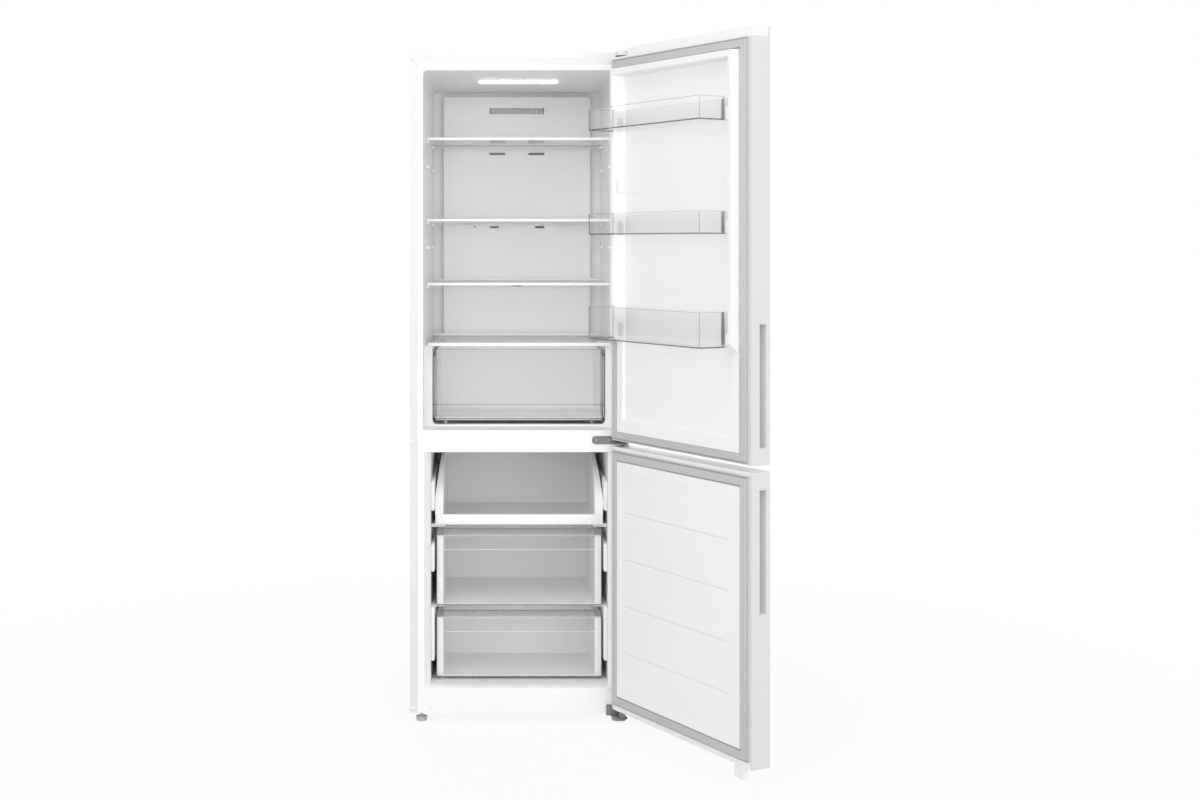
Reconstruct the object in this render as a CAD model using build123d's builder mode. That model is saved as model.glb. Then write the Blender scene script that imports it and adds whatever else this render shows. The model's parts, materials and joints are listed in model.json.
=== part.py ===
from build123d import *
import os

os.makedirs("parts", exist_ok=True)

# Millimetres. X runs to the right, Y to the back, Z up. The origin is on the floor, under the
# middle of the cabinet's front face. Both doors stand open: they are modelled shut and then
# swung about their hinge pins.

# ---- Driving dimensions: cabinet, from the floor up ------------------------------------------
cabinet_width = 595.0
cabinet_depth = 563.0
cabinet_base = 25.0  # lower edge of the side walls
kick_rail_height = 48.4
freezer_sill = 17.7  # plastic flange below the freezer opening
freezer_height = 642.8
freezer_head = 9.2
mid_beam_height = 49.2
fridge_sill = 1.7
fridge_height = 979.2
fridge_head = 14.4
top_flange = 17.9
side_flange = 20.7
shell_sheet = 0.8
bend_radius = 1.5
front_recess = 0.5  # the plastic front faces lie this far behind the steel flanges
foam_front = 2.1
liner_wall = 1.6

# ---- Driving dimensions: compartments ---------------------------------------------------------
fridge_half_width = 262.5
fridge_draft = 10.0  # each side wall leans in this much towards the back
fridge_ceiling_drop = 16.0
fridge_depth = 500.0
corner_radius = 12.0
crisper_half_width = 240.0
crisper_setback = 95.0
crisper_floor_rise = 5.0
crisper_zone_height = 224.0  # from the sill to the ledge under the crisper cover
freezer_mouth_half_width = 259.3
freezer_half_width = 242.0
freezer_mouth_depth = 20.0
freezer_floor_rise = 11.0
freezer_depth = 500.0
freezer_foot_depth = 318.0  # depth of the freezer floor, in front of the compressor
freezer_step_height = 207.0  # from the opening's lower edge to the step over the compressor
freezer_step_slope = 27.0
machine_room_depth = 178.0
machine_room_height = 230.0
panel_sheet = 1.2

# ---- Driving dimensions: doors ----------------------------------------------------------------
door_thickness = 56.0
door_standoff = 12.0  # from the cabinet's front face to the slab of a shut door
door_radius = 5.0  # of the front corner on the handle side
hinge_side_radius = 12.0  # rounder, so that the corner swings clear of the cabinet
door_angle = 120.0  # both doors stand open this far
door_gap = 17.0
door_gap_above_beam = 10.4  # lower edge of the gap above the lower edge of the mid beam
fridge_door_rise = 18.5  # above the cabinet
freezer_door_drop = 18.0  # its lower edge above the cabinet's
hinge_inset = 20.0
hinge_setback = 19.5  # from the slab's inner face out to the pins' axis
pin_diameter = 8.0
pin_clearance = 0.05
pin_grip = 15.0
top_cap_height = 25.0
top_cap_depth = 47.0
notch_width = 72.0
notch_floor = 4.5
inset_cap_height = 15.0
cap_wall = 2.5
boss_diameter = 18.0
door_return = 9.0
gasket_width = 24.0
gasket_base = 7.0
gasket_magnet_width = 14.0
gasket_gap = 0.3
grip_length = 300.0
grip_width = 24.0
grip_depth = 26.0
grip_wall = 1.8
grip_setback = 20.0  # from the slab's inner face
fridge_grip_rise = 39.0  # above the door's lower edge
freezer_grip_drop = 41.5  # below the door's upper edge
dyke_height = 34.0
dyke_inset = 38.0
dyke_lean = 2.0
dyke_width = 12.0
dyke_slope = 16.0
dyke_top_width = 18.0
dyke_end_rise = 240.0  # above the door liner's lower edge
panel_rise = 5.0
low_frame_height = 11.0
low_frame_width = 41.0

# ---- Driving dimensions: what is loose inside ---------------------------------------------------
shelf_glass = 4.0
shelf_front = 110.0
shelf_back_gap = 30.0
shelf_front_half_width = 255.8
shelf_trim_height = 7.3
shelf_trim_depth = 10.0
shelf_rises = {"upper_shelf": 803.1, "middle_shelf": 576.1, "lower_shelf": 397.9}  # tops above the sill
spare_lug_rises = (725.5, 499.5)
lug_reach = 8.0
lug_height = 7.0
lug_length = 75.0
duct_panel_depth = 22.0
duct_panel_half_width = 221.0
duct_panel_rise = 21.0
duct_panel_height = 928.4
cover_front = 72.0
cover_frame = 13.0
cover_trim_height = 8.6
crisper_clearance = 1.0
crisper_front_rise = 21.2
crisper_front_height = 193.1
crisper_back_gap = 45.0
tub_wall = 2.2
basket_rise = 436.7  # above the freezer opening's lower edge, as are the two drawers
middle_drawer_rise = 214.7
bottom_drawer_rise = 17.3
basket_lip_height = 27.5
basket_height = 172.0
basket_lip_reach = 19.6  # beyond the tub's side wall
drawer_front_height = 211.0
bottom_front_height = 182.8
tub_half_width = 211.0
rim_reach = 15.0
drawer_front_reach = 17.0
drawer_front_y = 54.0
drawer_front_wall = 3.5
drawer_back_gap = 75.0
foot_gap = 10.0  # behind the bottom drawer
slide_gap = 0.3
bin_rises = {"upper_bin": 828.5, "middle_bin": 554.5, "lower_bin": 280.5}  # above the door's lower edge
bin_heights = {"upper_bin": 57.0, "middle_bin": 55.0, "lower_bin": 86.0}
bin_reach = 114.0  # from the slab to the bin's front
bin_side_gap = 59.0  # from the door's side edge to the bin's
bin_corner = 5.0

# ---- Levels and planes that follow from them ----------------------------------------------------
half_width = cabinet_width / 2
kick_top = cabinet_base + kick_rail_height
freezer_bottom = kick_top + freezer_sill
freezer_top = freezer_bottom + freezer_height
beam_bottom = freezer_top + freezer_head
beam_top = beam_bottom + mid_beam_height
fridge_bottom = beam_top + fridge_sill
fridge_top = fridge_bottom + fridge_height
flange_bottom = fridge_top + fridge_head
cabinet_top = flange_bottom + top_flange
flange_inner = half_width - side_flange
foam_half_width = half_width - shell_sheet
foam_back = cabinet_depth - shell_sheet
foam_top = cabinet_top - shell_sheet
foam_bottom = cabinet_base + 12.2
machine_front = cabinet_depth - machine_room_depth
machine_top = cabinet_base + machine_room_height
crisper_floor = fridge_bottom + crisper_floor_rise
crisper_ledge = fridge_bottom + crisper_zone_height
duct_front = fridge_depth - duct_panel_depth
duct_panel_bottom = fridge_bottom + duct_panel_rise
duct_panel_top = duct_panel_bottom + duct_panel_height
shelf_back = fridge_depth - shelf_back_gap
shelf_tops = {name: fridge_bottom + rise for name, rise in shelf_rises.items()}
crisper_front_bottom = fridge_bottom + crisper_front_rise
crisper_front_top = crisper_front_bottom + crisper_front_height
crisper_length = fridge_depth - crisper_setback - crisper_back_gap
basket_bottom = freezer_bottom + basket_rise
basket_top = basket_bottom + basket_height
basket_half_width = tub_half_width + basket_lip_reach
middle_drawer_bottom = freezer_bottom + middle_drawer_rise
bottom_drawer_bottom = freezer_bottom + bottom_drawer_rise
rim_half_width = tub_half_width + rim_reach
drawer_half_width = tub_half_width + drawer_front_reach
drawer_back_y = freezer_depth - drawer_back_gap
bottom_drawer_back_y = freezer_foot_depth - foot_gap

door_inner = -door_standoff
door_outer = door_inner - door_thickness
freezer_door_bottom = cabinet_base + freezer_door_drop
freezer_door_top = beam_bottom + door_gap_above_beam
fridge_door_bottom = freezer_door_top + door_gap
fridge_door_top = cabinet_top + fridge_door_rise
bin_bottoms = {name: fridge_door_bottom + rise for name, rise in bin_rises.items()}
bin_half_width = half_width - bin_side_gap
pin_x = half_width - hinge_inset
pin_y = door_inner - hinge_setback
pin_radius = pin_diameter / 2
hole_radius = pin_radius + pin_clearance
swing = Location((pin_x, pin_y, 0)) * Location((0, 0, 0), (0, 0, door_angle)) * Location((-pin_x, -pin_y, 0))


# ---- Helpers -----------------------------------------------------------------------------------
def block(x, y, z, mode=Mode.ADD):
    """A box between three pairs of limits, in the open builder."""
    middle = ((x[0] + x[1]) / 2, (y[0] + y[1]) / 2, (z[0] + z[1]) / 2)
    with Locations(middle):
        Box(abs(x[1] - x[0]), abs(y[1] - y[0]), abs(z[1] - z[0]), mode=mode)


def both_sides(x, y, z, mode=Mode.ADD):
    """The same box on the right and on the left."""
    block(x, y, z, mode)
    block((-x[1], -x[0]), y, z, mode)


def upright(x, y, radius, z, mode=Mode.ADD):
    """A vertical cylinder between two heights."""
    with Locations((x, y, (z[0] + z[1]) / 2)):
        Cylinder(radius, abs(z[1] - z[0]), mode=mode)


def lying(x, z, radius, y, mode=Mode.ADD):
    """A cylinder along Y between two depths."""
    with Locations(Location((x, (y[0] + y[1]) / 2, z), (90, 0, 0))):
        Cylinder(radius, abs(y[1] - y[0]), mode=mode)


def n(height):
    """The depth Y, on a shut door, of a point this high above the slab's inner face."""
    return door_inner + height


def save(piece, label, place=Location()):
    piece.part.label = label
    solid = piece.part.moved(place)
    solid.label = label
    export_step(solid, f"parts/{label}.step")


# ---- Compartment hollows, with their walls grown by a given amount -------------------------------
def fridge_hollow(grow):
    with BuildPart() as hollow:
        front_z = ((crisper_ledge + fridge_top) / 2, fridge_top - crisper_ledge)
        back_height = fridge_top - fridge_ceiling_drop - crisper_ledge
        back_z = (crisper_ledge + back_height / 2, back_height)
        with BuildSketch(Plane.XZ) as front_outline:
            with Locations((0, front_z[0])):
                Rectangle(2 * (fridge_half_width + grow), front_z[1] + 2 * grow)
            fillet(front_outline.vertices().group_by(Axis.Y)[-1], corner_radius + grow)
        with BuildSketch(Plane.XZ.offset(-(fridge_depth + grow))) as back_outline:
            with Locations((0, back_z[0])):
                Rectangle(2 * (fridge_half_width - fridge_draft + grow), back_z[1] + 2 * grow)
            fillet(back_outline.vertices().group_by(Axis.Y)[-1], corner_radius + grow)
        loft()
        mouth = fridge_half_width + grow
        block((-mouth, mouth), (0, crisper_setback + grow), (fridge_bottom - grow, crisper_ledge + 2 * corner_radius))
        with BuildSketch(Plane.XZ.offset(-crisper_setback)):
            with Locations((0, (crisper_floor + crisper_ledge) / 2)):
                pocket_height = crisper_ledge - crisper_floor + 2 * grow
                pocket = Rectangle(2 * (crisper_half_width + grow), pocket_height)
            fillet(pocket.vertices().group_by(Axis.Y)[0], corner_radius + grow)
        extrude(amount=-(fridge_depth + grow - crisper_setback))
    return hollow.part


def freezer_hollow(grow):
    floor = freezer_bottom + freezer_floor_rise
    step = freezer_bottom + freezer_step_height
    with BuildPart() as hollow:
        with BuildSketch(Plane.YZ):
            with BuildLine():
                Polyline(
                    (0, floor),
                    (freezer_foot_depth, floor),
                    (freezer_foot_depth + freezer_step_slope, step),
                    (freezer_depth, step),
                    (freezer_depth, freezer_top),
                    (0, freezer_top),
                    close=True,
                )
            make_face()
            if grow:
                offset(amount=grow, kind=Kind.INTERSECTION)
        extrude(amount=freezer_half_width + grow, both=True)
        with BuildSketch(Plane.XZ.offset(grow)):
            with Locations((0, (freezer_bottom + freezer_top) / 2)):
                Rectangle(2 * (freezer_mouth_half_width + grow), freezer_height + 2 * grow)
        with BuildSketch(Plane.XZ.offset(-freezer_mouth_depth)):
            with Locations((0, (floor + freezer_top) / 2)):
                Rectangle(2 * (freezer_half_width + grow), freezer_top - floor + 2 * grow)
        loft()
        block((-half_width, half_width), (-liner_wall - grow - 1, 0), (0, cabinet_top), Mode.SUBTRACT)
    return hollow.part


fridge_space = fridge_hollow(0)
fridge_body = fridge_hollow(liner_wall)
freezer_space = freezer_hollow(0)
freezer_body = freezer_hollow(liner_wall)

# ---- Cabinet: steel wrap, foam and liners ---------------------------------------------------------
with BuildPart() as outer_shell:
    block((-half_width, half_width), (0, cabinet_depth), (cabinet_base, cabinet_top))
    fillet(outer_shell.faces().sort_by(Axis.Y)[0].edges().group_by(Axis.Z)[-1], bend_radius)
    block((-foam_half_width, foam_half_width), (shell_sheet, cabinet_depth), (cabinet_base, foam_top), Mode.SUBTRACT)
    block((-flange_inner, flange_inner), (0, shell_sheet), (cabinet_base, flange_bottom), Mode.SUBTRACT)
save(outer_shell, "outer_shell")

beam_depth = 16.0
kick_depth = 12.0
duct_half_width = 42.0
duct_high_y = fridge_depth - 6.0
duct_low_y = duct_high_y - 32.0
foot_x = half_width - 31.0
foot_y = 18.0
foot_pocket_radius = 9.0
foot_stem_top = foam_bottom + 15.0
coil_pocket = 6.0
coil_low_y = 60.0
coil_high_y = cabinet_depth - 63.0
coil_low_z = machine_top + 65.0
coil_high_z = cabinet_top - 165.8

with BuildPart() as cabinet_foam:
    block((-foam_half_width, foam_half_width), (foam_front, foam_back), (foam_bottom, foam_top))
    block((-half_width, half_width), (machine_front, cabinet_depth), (0, machine_top), Mode.SUBTRACT)
    add(fridge_body, mode=Mode.SUBTRACT)
    add(freezer_body, mode=Mode.SUBTRACT)
    beam_y = (0, front_recess + beam_depth)
    block((-flange_inner, flange_inner), beam_y, (beam_bottom, beam_top), Mode.SUBTRACT)
    kick_y = (0, front_recess + kick_depth)
    block((-flange_inner, flange_inner), kick_y, (0, kick_top), Mode.SUBTRACT)
    duct_z = (freezer_top, crisper_floor)
    block((-duct_half_width, duct_half_width), (duct_low_y, duct_high_y), duct_z, Mode.SUBTRACT)
    for side in (-1, 1):
        upright(side * foot_x, foot_y, foot_pocket_radius, (foam_bottom, foot_stem_top + 2), Mode.SUBTRACT)
    coil_x = (-foam_half_width, -foam_half_width + coil_pocket)
    block(coil_x, (coil_low_y - 5, coil_high_y + 30), (coil_low_z - 5, coil_high_z + 5), Mode.SUBTRACT)
save(cabinet_foam, "cabinet_foam")

lug_rows = [top - shelf_trim_height - slide_gap for top in shelf_tops.values()]
lug_rows += [fridge_bottom + rise for rise in spare_lug_rises]


def side_wall_x(y):
    """Half the fridge compartment's width at a depth."""
    return fridge_half_width - fridge_draft * y / fridge_depth


with BuildPart() as fridge_liner:
    add(fridge_body)
    flange_plate_y = (front_recess, foam_front)
    block((-flange_inner, flange_inner), flange_plate_y, (beam_top, flange_bottom))
    add(fridge_space, mode=Mode.SUBTRACT)
    block((-half_width, half_width), (-5, front_recess), (0, cabinet_top), Mode.SUBTRACT)
    duct_hole_z = (fridge_bottom - 5, crisper_floor)
    block((-duct_half_width, duct_half_width), (duct_low_y, duct_high_y), duct_hole_z, Mode.SUBTRACT)
    for top in lug_rows:
        for start in (shelf_front + 15, shelf_back - 15 - lug_length):
            inner = side_wall_x(start + lug_length) - lug_reach
            outer = side_wall_x(start + lug_length)
            both_sides((inner, outer + 0.4), (start, start + lug_length), (top - lug_height, top))
    runner_top = crisper_front_bottom - 7.5
    runner_back = crisper_setback + crisper_length
    runner_x = (crisper_half_width - 40, crisper_half_width - 30)
    both_sides(runner_x, (crisper_setback + 40, runner_back), (crisper_floor, runner_top))
save(fridge_liner, "fridge_liner")

basket_ledge_top = basket_bottom - slide_gap
basket_ledge_inner = tub_half_width - 7
drawer_ledge_top = middle_drawer_bottom - slide_gap
ledge_start = 72.0

with BuildPart() as freezer_liner:
    add(freezer_body)
    block((-flange_inner, flange_inner), (front_recess, foam_front), (kick_top, beam_bottom))
    add(freezer_space, mode=Mode.SUBTRACT)
    block((-half_width, half_width), (-5, front_recess), (0, cabinet_top), Mode.SUBTRACT)
    port_z = (freezer_top, freezer_top + 5)
    block((-duct_half_width, duct_half_width), (duct_low_y, duct_high_y), port_z, Mode.SUBTRACT)
    ledge_y = (ledge_start, drawer_back_y)
    basket_ledge_z = (basket_ledge_top - 9.5, basket_ledge_top)
    both_sides((basket_ledge_inner, freezer_half_width), ledge_y, basket_ledge_z)
    drawer_ledge_z = (freezer_bottom + freezer_step_height, drawer_ledge_top)
    both_sides((basket_ledge_inner, freezer_half_width), ledge_y, drawer_ledge_z)
    floor_rail_z = (freezer_bottom + freezer_floor_rise, bottom_drawer_bottom - slide_gap)
    both_sides((basket_ledge_inner, tub_half_width + 5), (ledge_start, bottom_drawer_back_y), floor_rail_z)
save(freezer_liner, "freezer_liner")

plate_rim = 12.0
with BuildPart() as bottom_plate:
    plate_z = (foam_bottom - panel_sheet, foam_bottom)
    plate_x = (-foam_half_width, foam_half_width)
    block(plate_x, (front_recess + kick_depth, machine_front), plate_z)
    block(plate_x, (machine_front, machine_front + panel_sheet), (plate_z[0], machine_top))
    block(plate_x, (machine_front, foam_back), (machine_top - panel_sheet, machine_top))
    cheek_x = (foam_half_width - panel_sheet, foam_half_width)
    both_sides(cheek_x, (machine_front, foam_back), (cabinet_base, machine_top))
    upright(-foot_x, foot_y, hole_radius, (0, foam_bottom + 1), Mode.SUBTRACT)
    upright(foot_x, foot_y, hole_radius, (0, foam_bottom + 1), Mode.SUBTRACT)
save(bottom_plate, "bottom_plate")

with BuildPart() as rear_panel:
    block((-foam_half_width, foam_half_width), (foam_back, cabinet_depth), (machine_top, foam_top))
save(rear_panel, "rear_panel")

# ---- Front cross members ---------------------------------------------------------------------------
hinge_plate_left = flange_inner - 79.1
hinge_plate_right = flange_inner - 4
hinge_plate_low = beam_bottom + 12.0
hinge_plate_high = beam_bottom + 34.8
hinge_plate_wall = 3.0
mid_screw_x = (hinge_plate_left + 12.3, hinge_plate_left + 46.3)
mid_screw_z = (hinge_plate_low + hinge_plate_high) / 2
screw_hole_radius = 2.2
spare_hole_x = (-flange_inner + 33.8, -flange_inner + 66.8)

with BuildPart() as mid_beam:
    block((-flange_inner, flange_inner), (front_recess, front_recess + beam_depth), (beam_bottom, beam_top))
    pocket_y = (0, hinge_plate_wall)
    block((hinge_plate_left, flange_inner), pocket_y, (hinge_plate_low, hinge_plate_high), Mode.SUBTRACT)
    for x in mid_screw_x + spare_hole_x:
        lying(x, mid_screw_z, screw_hole_radius, (0, 13), Mode.SUBTRACT)
save(mid_beam, "mid_beam")

kick_screw_z = cabinet_base + 13.3
bottom_screw_x = pin_x - 34.0
with BuildPart() as kick_rail:
    block((-flange_inner, flange_inner), (front_recess, front_recess + kick_depth), (cabinet_base, kick_top))
    kick_top_edge = kick_rail.faces().sort_by(Axis.Y)[0].edges().group_by(Axis.Z)[-1]
    chamfer(kick_top_edge, 1.0)
    for x in (bottom_screw_x, -bottom_screw_x):
        lying(x, kick_screw_z, screw_hole_radius, (0, 13), Mode.SUBTRACT)
save(kick_rail, "kick_rail")

# ---- Hinges ------------------------------------------------------------------------------------------
hinge_sheet = 3.0
arm_half_width = 14.0
top_plate_left = pin_x - 61.5
top_plate_back = 75.0
top_screw_xy = ((pin_x - 47.5, 25.0), (pin_x - 47.5, 60.0), (pin_x - 15.5, 60.0))

with BuildPart() as top_hinge:
    top_plate_z = (cabinet_top, cabinet_top + hinge_sheet)
    block((top_plate_left, pin_x + arm_half_width), (8, top_plate_back), top_plate_z)
    block((pin_x - arm_half_width, pin_x + arm_half_width), (pin_y, 8), top_plate_z)
    upright(pin_x, pin_y, arm_half_width, top_plate_z)
    pin_bottom = fridge_door_top - top_cap_height + notch_floor - pin_grip
    upright(pin_x, pin_y, pin_radius, (pin_bottom, cabinet_top))
    for x, y in top_screw_xy:
        upright(x, y, screw_hole_radius, top_plate_z, Mode.SUBTRACT)
save(top_hinge, "top_hinge")

cover_left = pin_x - 101.8
cover_back = 88.0
cover_height = 16.0
cover_wall = 1.8
with BuildPart() as top_hinge_cover:
    cover_z = (cabinet_top, cabinet_top + cover_height)
    cover_right = pin_x + arm_half_width + 2.3
    block((cover_left, cover_right), (6, cover_back), cover_z)
    arm_left = pin_x - arm_half_width - 2.3
    block((arm_left, cover_right), (pin_y, 6), cover_z)
    upright(pin_x, pin_y, arm_half_width + 2.3, cover_z)
    top_edges = top_hinge_cover.faces().sort_by(Axis.Z)[-1].edges()
    fillet(top_edges, 1.5)
    inner_z = (cabinet_top, cabinet_top + cover_height - cover_wall)
    block((cover_left + cover_wall, cover_right - cover_wall), (7.8, cover_back - cover_wall), inner_z, Mode.SUBTRACT)
    block((arm_left + cover_wall, cover_right - cover_wall), (pin_y, 8), inner_z, Mode.SUBTRACT)
    upright(pin_x, pin_y, arm_half_width + 0.5, inner_z, Mode.SUBTRACT)
    underside_z = (cabinet_top, cabinet_top + hinge_sheet + 0.5)
    block((arm_left, cover_right), (pin_y - 30, 0), underside_z, Mode.SUBTRACT)
save(top_hinge_cover, "top_hinge_cover")

arm_low = (freezer_door_top + fridge_door_bottom - hinge_sheet) / 2
arm_high = arm_low + hinge_sheet
with BuildPart() as middle_hinge:
    plate_height = hinge_plate_high - hinge_plate_low
    rounded = hinge_plate_left + plate_height / 2
    block((rounded, hinge_plate_right), (0, hinge_plate_wall), (hinge_plate_low, hinge_plate_high))
    lying(rounded, mid_screw_z, plate_height / 2, (0, hinge_plate_wall))
    arm_left = pin_x - 2 * arm_half_width
    block((arm_left, hinge_plate_right), (-6, hinge_plate_wall), (arm_low, arm_high))
    with BuildSketch(Plane.XY.offset(arm_low)):
        with BuildLine():
            Polyline(
                (arm_left, -6),
                (pin_x - arm_half_width, pin_y),
                (pin_x + arm_half_width, pin_y),
                (pin_x + arm_half_width, -6),
                close=True,
            )
        make_face()
        with Locations((pin_x, pin_y)):
            Circle(arm_half_width)
    extrude(amount=hinge_sheet)
    upright(pin_x, pin_y, pin_radius, (freezer_door_top - pin_grip + 2, fridge_door_bottom + pin_grip - 2))
    for x in mid_screw_x:
        lying(x, mid_screw_z, screw_hole_radius, (0, hinge_plate_wall), Mode.SUBTRACT)
save(middle_hinge, "middle_hinge")

bracket_left = pin_x - 41.2
bracket_high = cabinet_base + 23.4
bottom_arm_high = cabinet_base - 3.0
bottom_arm_low = bottom_arm_high - hinge_sheet
bracket_y = (-hinge_sheet, 0)
bracket_right = pin_x + 6.0
with BuildPart() as bottom_hinge:
    block((bracket_left, bracket_right), bracket_y, (bottom_arm_low, bracket_high))
    block((bracket_left, bracket_right), (bracket_y[0], foot_y + 22), (bottom_arm_low, bottom_arm_high))
    with BuildSketch(Plane.XY.offset(bottom_arm_low)):
        with BuildLine():
            Polyline(
                (bracket_left + 8, bracket_y[0]),
                (pin_x - arm_half_width, pin_y),
                (pin_x + arm_half_width, pin_y),
                (bracket_right, bracket_y[0]),
                close=True,
            )
        make_face()
        with Locations((pin_x, pin_y)):
            Circle(arm_half_width)
    extrude(amount=hinge_sheet)
    upright(pin_x, pin_y, boss_diameter / 2, (bottom_arm_low - 4.4, bottom_arm_low))
    upright(pin_x, pin_y, boss_diameter / 2, (bottom_arm_high, freezer_door_bottom - 0.5))
    upright(pin_x, pin_y, pin_radius, (bottom_arm_high, freezer_door_bottom + pin_grip - 2))
    upright(foot_x, foot_y, hole_radius, (0, bottom_arm_high + 1), Mode.SUBTRACT)
    lying(bottom_screw_x, kick_screw_z, screw_hole_radius, bracket_y, Mode.SUBTRACT)
save(bottom_hinge, "bottom_hinge")

screw_radius = 2.15
head_radius = 4.2
head_height = 2.4
with BuildPart() as hinge_screws:
    for x in mid_screw_x:
        lying(x, mid_screw_z, screw_radius, (0, 12))
        lying(x, mid_screw_z, head_radius, (-head_height, 0))
    lying(bottom_screw_x, kick_screw_z, screw_radius, (bracket_y[0], 12))
    lying(bottom_screw_x, kick_screw_z, head_radius, (bracket_y[0] - head_height, bracket_y[0]))
    for x, y in top_screw_xy:
        upright(x, y, screw_radius, (cabinet_top, cabinet_top + hinge_sheet))
        upright(x, y, head_radius, (cabinet_top + hinge_sheet, cabinet_top + hinge_sheet + head_height))
save(hinge_screws, "hinge_screws")

cap_radius = 4.5
cap_rise = 1.6
side_cap_x = -half_width + 8.3
cover_rise = 11.0
with BuildPart() as hinge_hole_covers:
    with BuildSketch(Plane.XZ.offset(-10)):
        with BuildLine():
            Polyline(
                (-half_width + 7.5, cabinet_top),
                (-half_width + 64.1, cabinet_top),
                (-half_width + 34.8, cabinet_top + cover_rise),
                (-half_width + 7.5, cabinet_top + cover_rise),
                close=True,
            )
        make_face()
    extrude(amount=-60)
    for x in spare_hole_x:
        lying(x, mid_screw_z, cap_radius, (front_recess - cap_rise, front_recess))
        lying(x, mid_screw_z, screw_radius, (front_recess, 10))
    lying(-bottom_screw_x, kick_screw_z, cap_radius, (front_recess - cap_rise, front_recess))
    lying(-bottom_screw_x, kick_screw_z, screw_radius, (front_recess, 10))
    for z in (beam_bottom + 19.9, kick_screw_z):
        lying(side_cap_x, z, cap_radius, (-cap_rise, 0))
save(hinge_hole_covers, "hinge_hole_covers")

# ---- Machine room --------------------------------------------------------------------------------------
tray_bottom = cabinet_base + 5.0
tray_sheet = 2.0
roller_radius = 17.0
roller_width = 16.0
roller_x = half_width - 59.5
roller_y = cabinet_depth - 33.0
axle_radius = 3.0
with BuildPart() as compressor_base:
    base_half = foam_half_width - panel_sheet
    base_y = (machine_front + panel_sheet, foam_back)
    block((-base_half, base_half), base_y, (tray_bottom, tray_bottom + tray_sheet))
    block((-base_half, base_half), (base_y[0], base_y[0] + tray_sheet), (tray_bottom, tray_bottom + 30))
    both_sides((base_half - tray_sheet, base_half), base_y, (tray_bottom, tray_bottom + 30))
    for side in (-1, 1):
        for ear in (-1, 1):
            ear_x = side * roller_x + ear * (roller_width / 2 + 2.5)
            ear_y = (roller_y - 9, roller_y + 9)
            block((ear_x - 1.5, ear_x + 1.5), ear_y, (roller_radius - 6, tray_bottom))
        with Locations(Location((side * roller_x, roller_y, roller_radius), (0, 90, 0))):
            Cylinder(axle_radius, roller_width + 8)
        well_x = (side * roller_x - roller_width / 2 - 1, side * roller_x + roller_width / 2 + 1)
        well_y = (roller_y - roller_radius - 2, roller_y + roller_radius + 2)
        well_z = (tray_bottom - 1, tray_bottom + tray_sheet)
        block(well_x, well_y, well_z, Mode.SUBTRACT)
save(compressor_base, "compressor_base")

with BuildPart() as rear_rollers:
    for side in (-1, 1):
        with Locations(Location((side * roller_x, roller_y, roller_radius), (0, 90, 0))):
            Cylinder(roller_radius, roller_width)
            Cylinder(axle_radius + pin_clearance, roller_width, mode=Mode.SUBTRACT)
    fillet(rear_rollers.edges().filter_by(GeomType.CIRCLE).group_by(SortBy.RADIUS)[-1], 1.5)
save(rear_rollers, "rear_rollers")

compressor_x = 95.0
compressor_y = machine_front + 90.0
compressor_radius = 74.0
mount_height = 16.0
foot_plate_z = tray_bottom + tray_sheet + mount_height
foot_plate_sheet = 3.0
mount_dx = 78.0
mount_dy = 52.0
body_bottom = foot_plate_z + foot_plate_sheet
body_height = 150.0
with BuildPart() as compressor:
    body_z = (body_bottom, body_bottom + body_height)
    upright(compressor_x, compressor_y, compressor_radius, body_z)
    fillet(compressor.edges().filter_by(GeomType.CIRCLE).group_by(Axis.Z)[-1], 44)
    fillet(compressor.edges().filter_by(GeomType.CIRCLE).group_by(Axis.Z)[0], 20)
    seam_z = body_bottom + 78
    upright(compressor_x, compressor_y, compressor_radius + 3, (seam_z, seam_z + 6))
    plate_x = (compressor_x - mount_dx - 16, compressor_x + mount_dx + 16)
    plate_y = (compressor_y - mount_dy - 14, compressor_y + mount_dy + 14)
    block(plate_x, plate_y, (foot_plate_z, body_bottom))
    block((compressor_x - 100, compressor_x - 60), (compressor_y - 25, compressor_y + 25), (seam_z - 40, seam_z + 20))
save(compressor, "compressor")

with BuildPart() as compressor_mounts:
    mount_z = (tray_bottom + tray_sheet, foot_plate_z)
    for dx in (-mount_dx, mount_dx):
        for dy in (-mount_dy, mount_dy):
            upright(compressor_x + dx, compressor_y + dy, 11, mount_z)
save(compressor_mounts, "compressor_mounts")

drip_x = (-half_width + 67.5, compressor_x - 135.0)
drip_y = (machine_front + 15.0, machine_front + 108.0)
drip_z = (tray_bottom + tray_sheet, tray_bottom + tray_sheet + 48.0)
with BuildPart() as drip_tray:
    block(drip_x, drip_y, drip_z)
    fillet(drip_tray.edges().filter_by(Axis.Z), 10)
    inner_top = drip_tray.faces().sort_by(Axis.Z)[-1]
    offset(amount=-2.0, openings=inner_top)
save(drip_tray, "drip_tray")

vent_slot = 4.0
vent_pitch = 10.0
vent_length = 60.0
with BuildPart() as machine_room_cover:
    base_half = foam_half_width - panel_sheet - 1
    vent_cover_z = (tray_bottom + tray_sheet + 30, machine_top - panel_sheet - 1)
    cover_y = (foam_back - 1.5, foam_back)
    block((-base_half, base_half), cover_y, vent_cover_z)
    middle = (vent_cover_z[0] + vent_cover_z[1]) / 2
    with BuildSketch(Plane.XZ.offset(-cover_y[0])):
        with Locations((0, middle)):
            with GridLocations(vent_length + 20, vent_pitch, 5, 14):
                SlotOverall(vent_length, vent_slot)
    extrude(amount=-2, mode=Mode.SUBTRACT)
save(machine_room_cover, "machine_room_cover")

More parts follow.
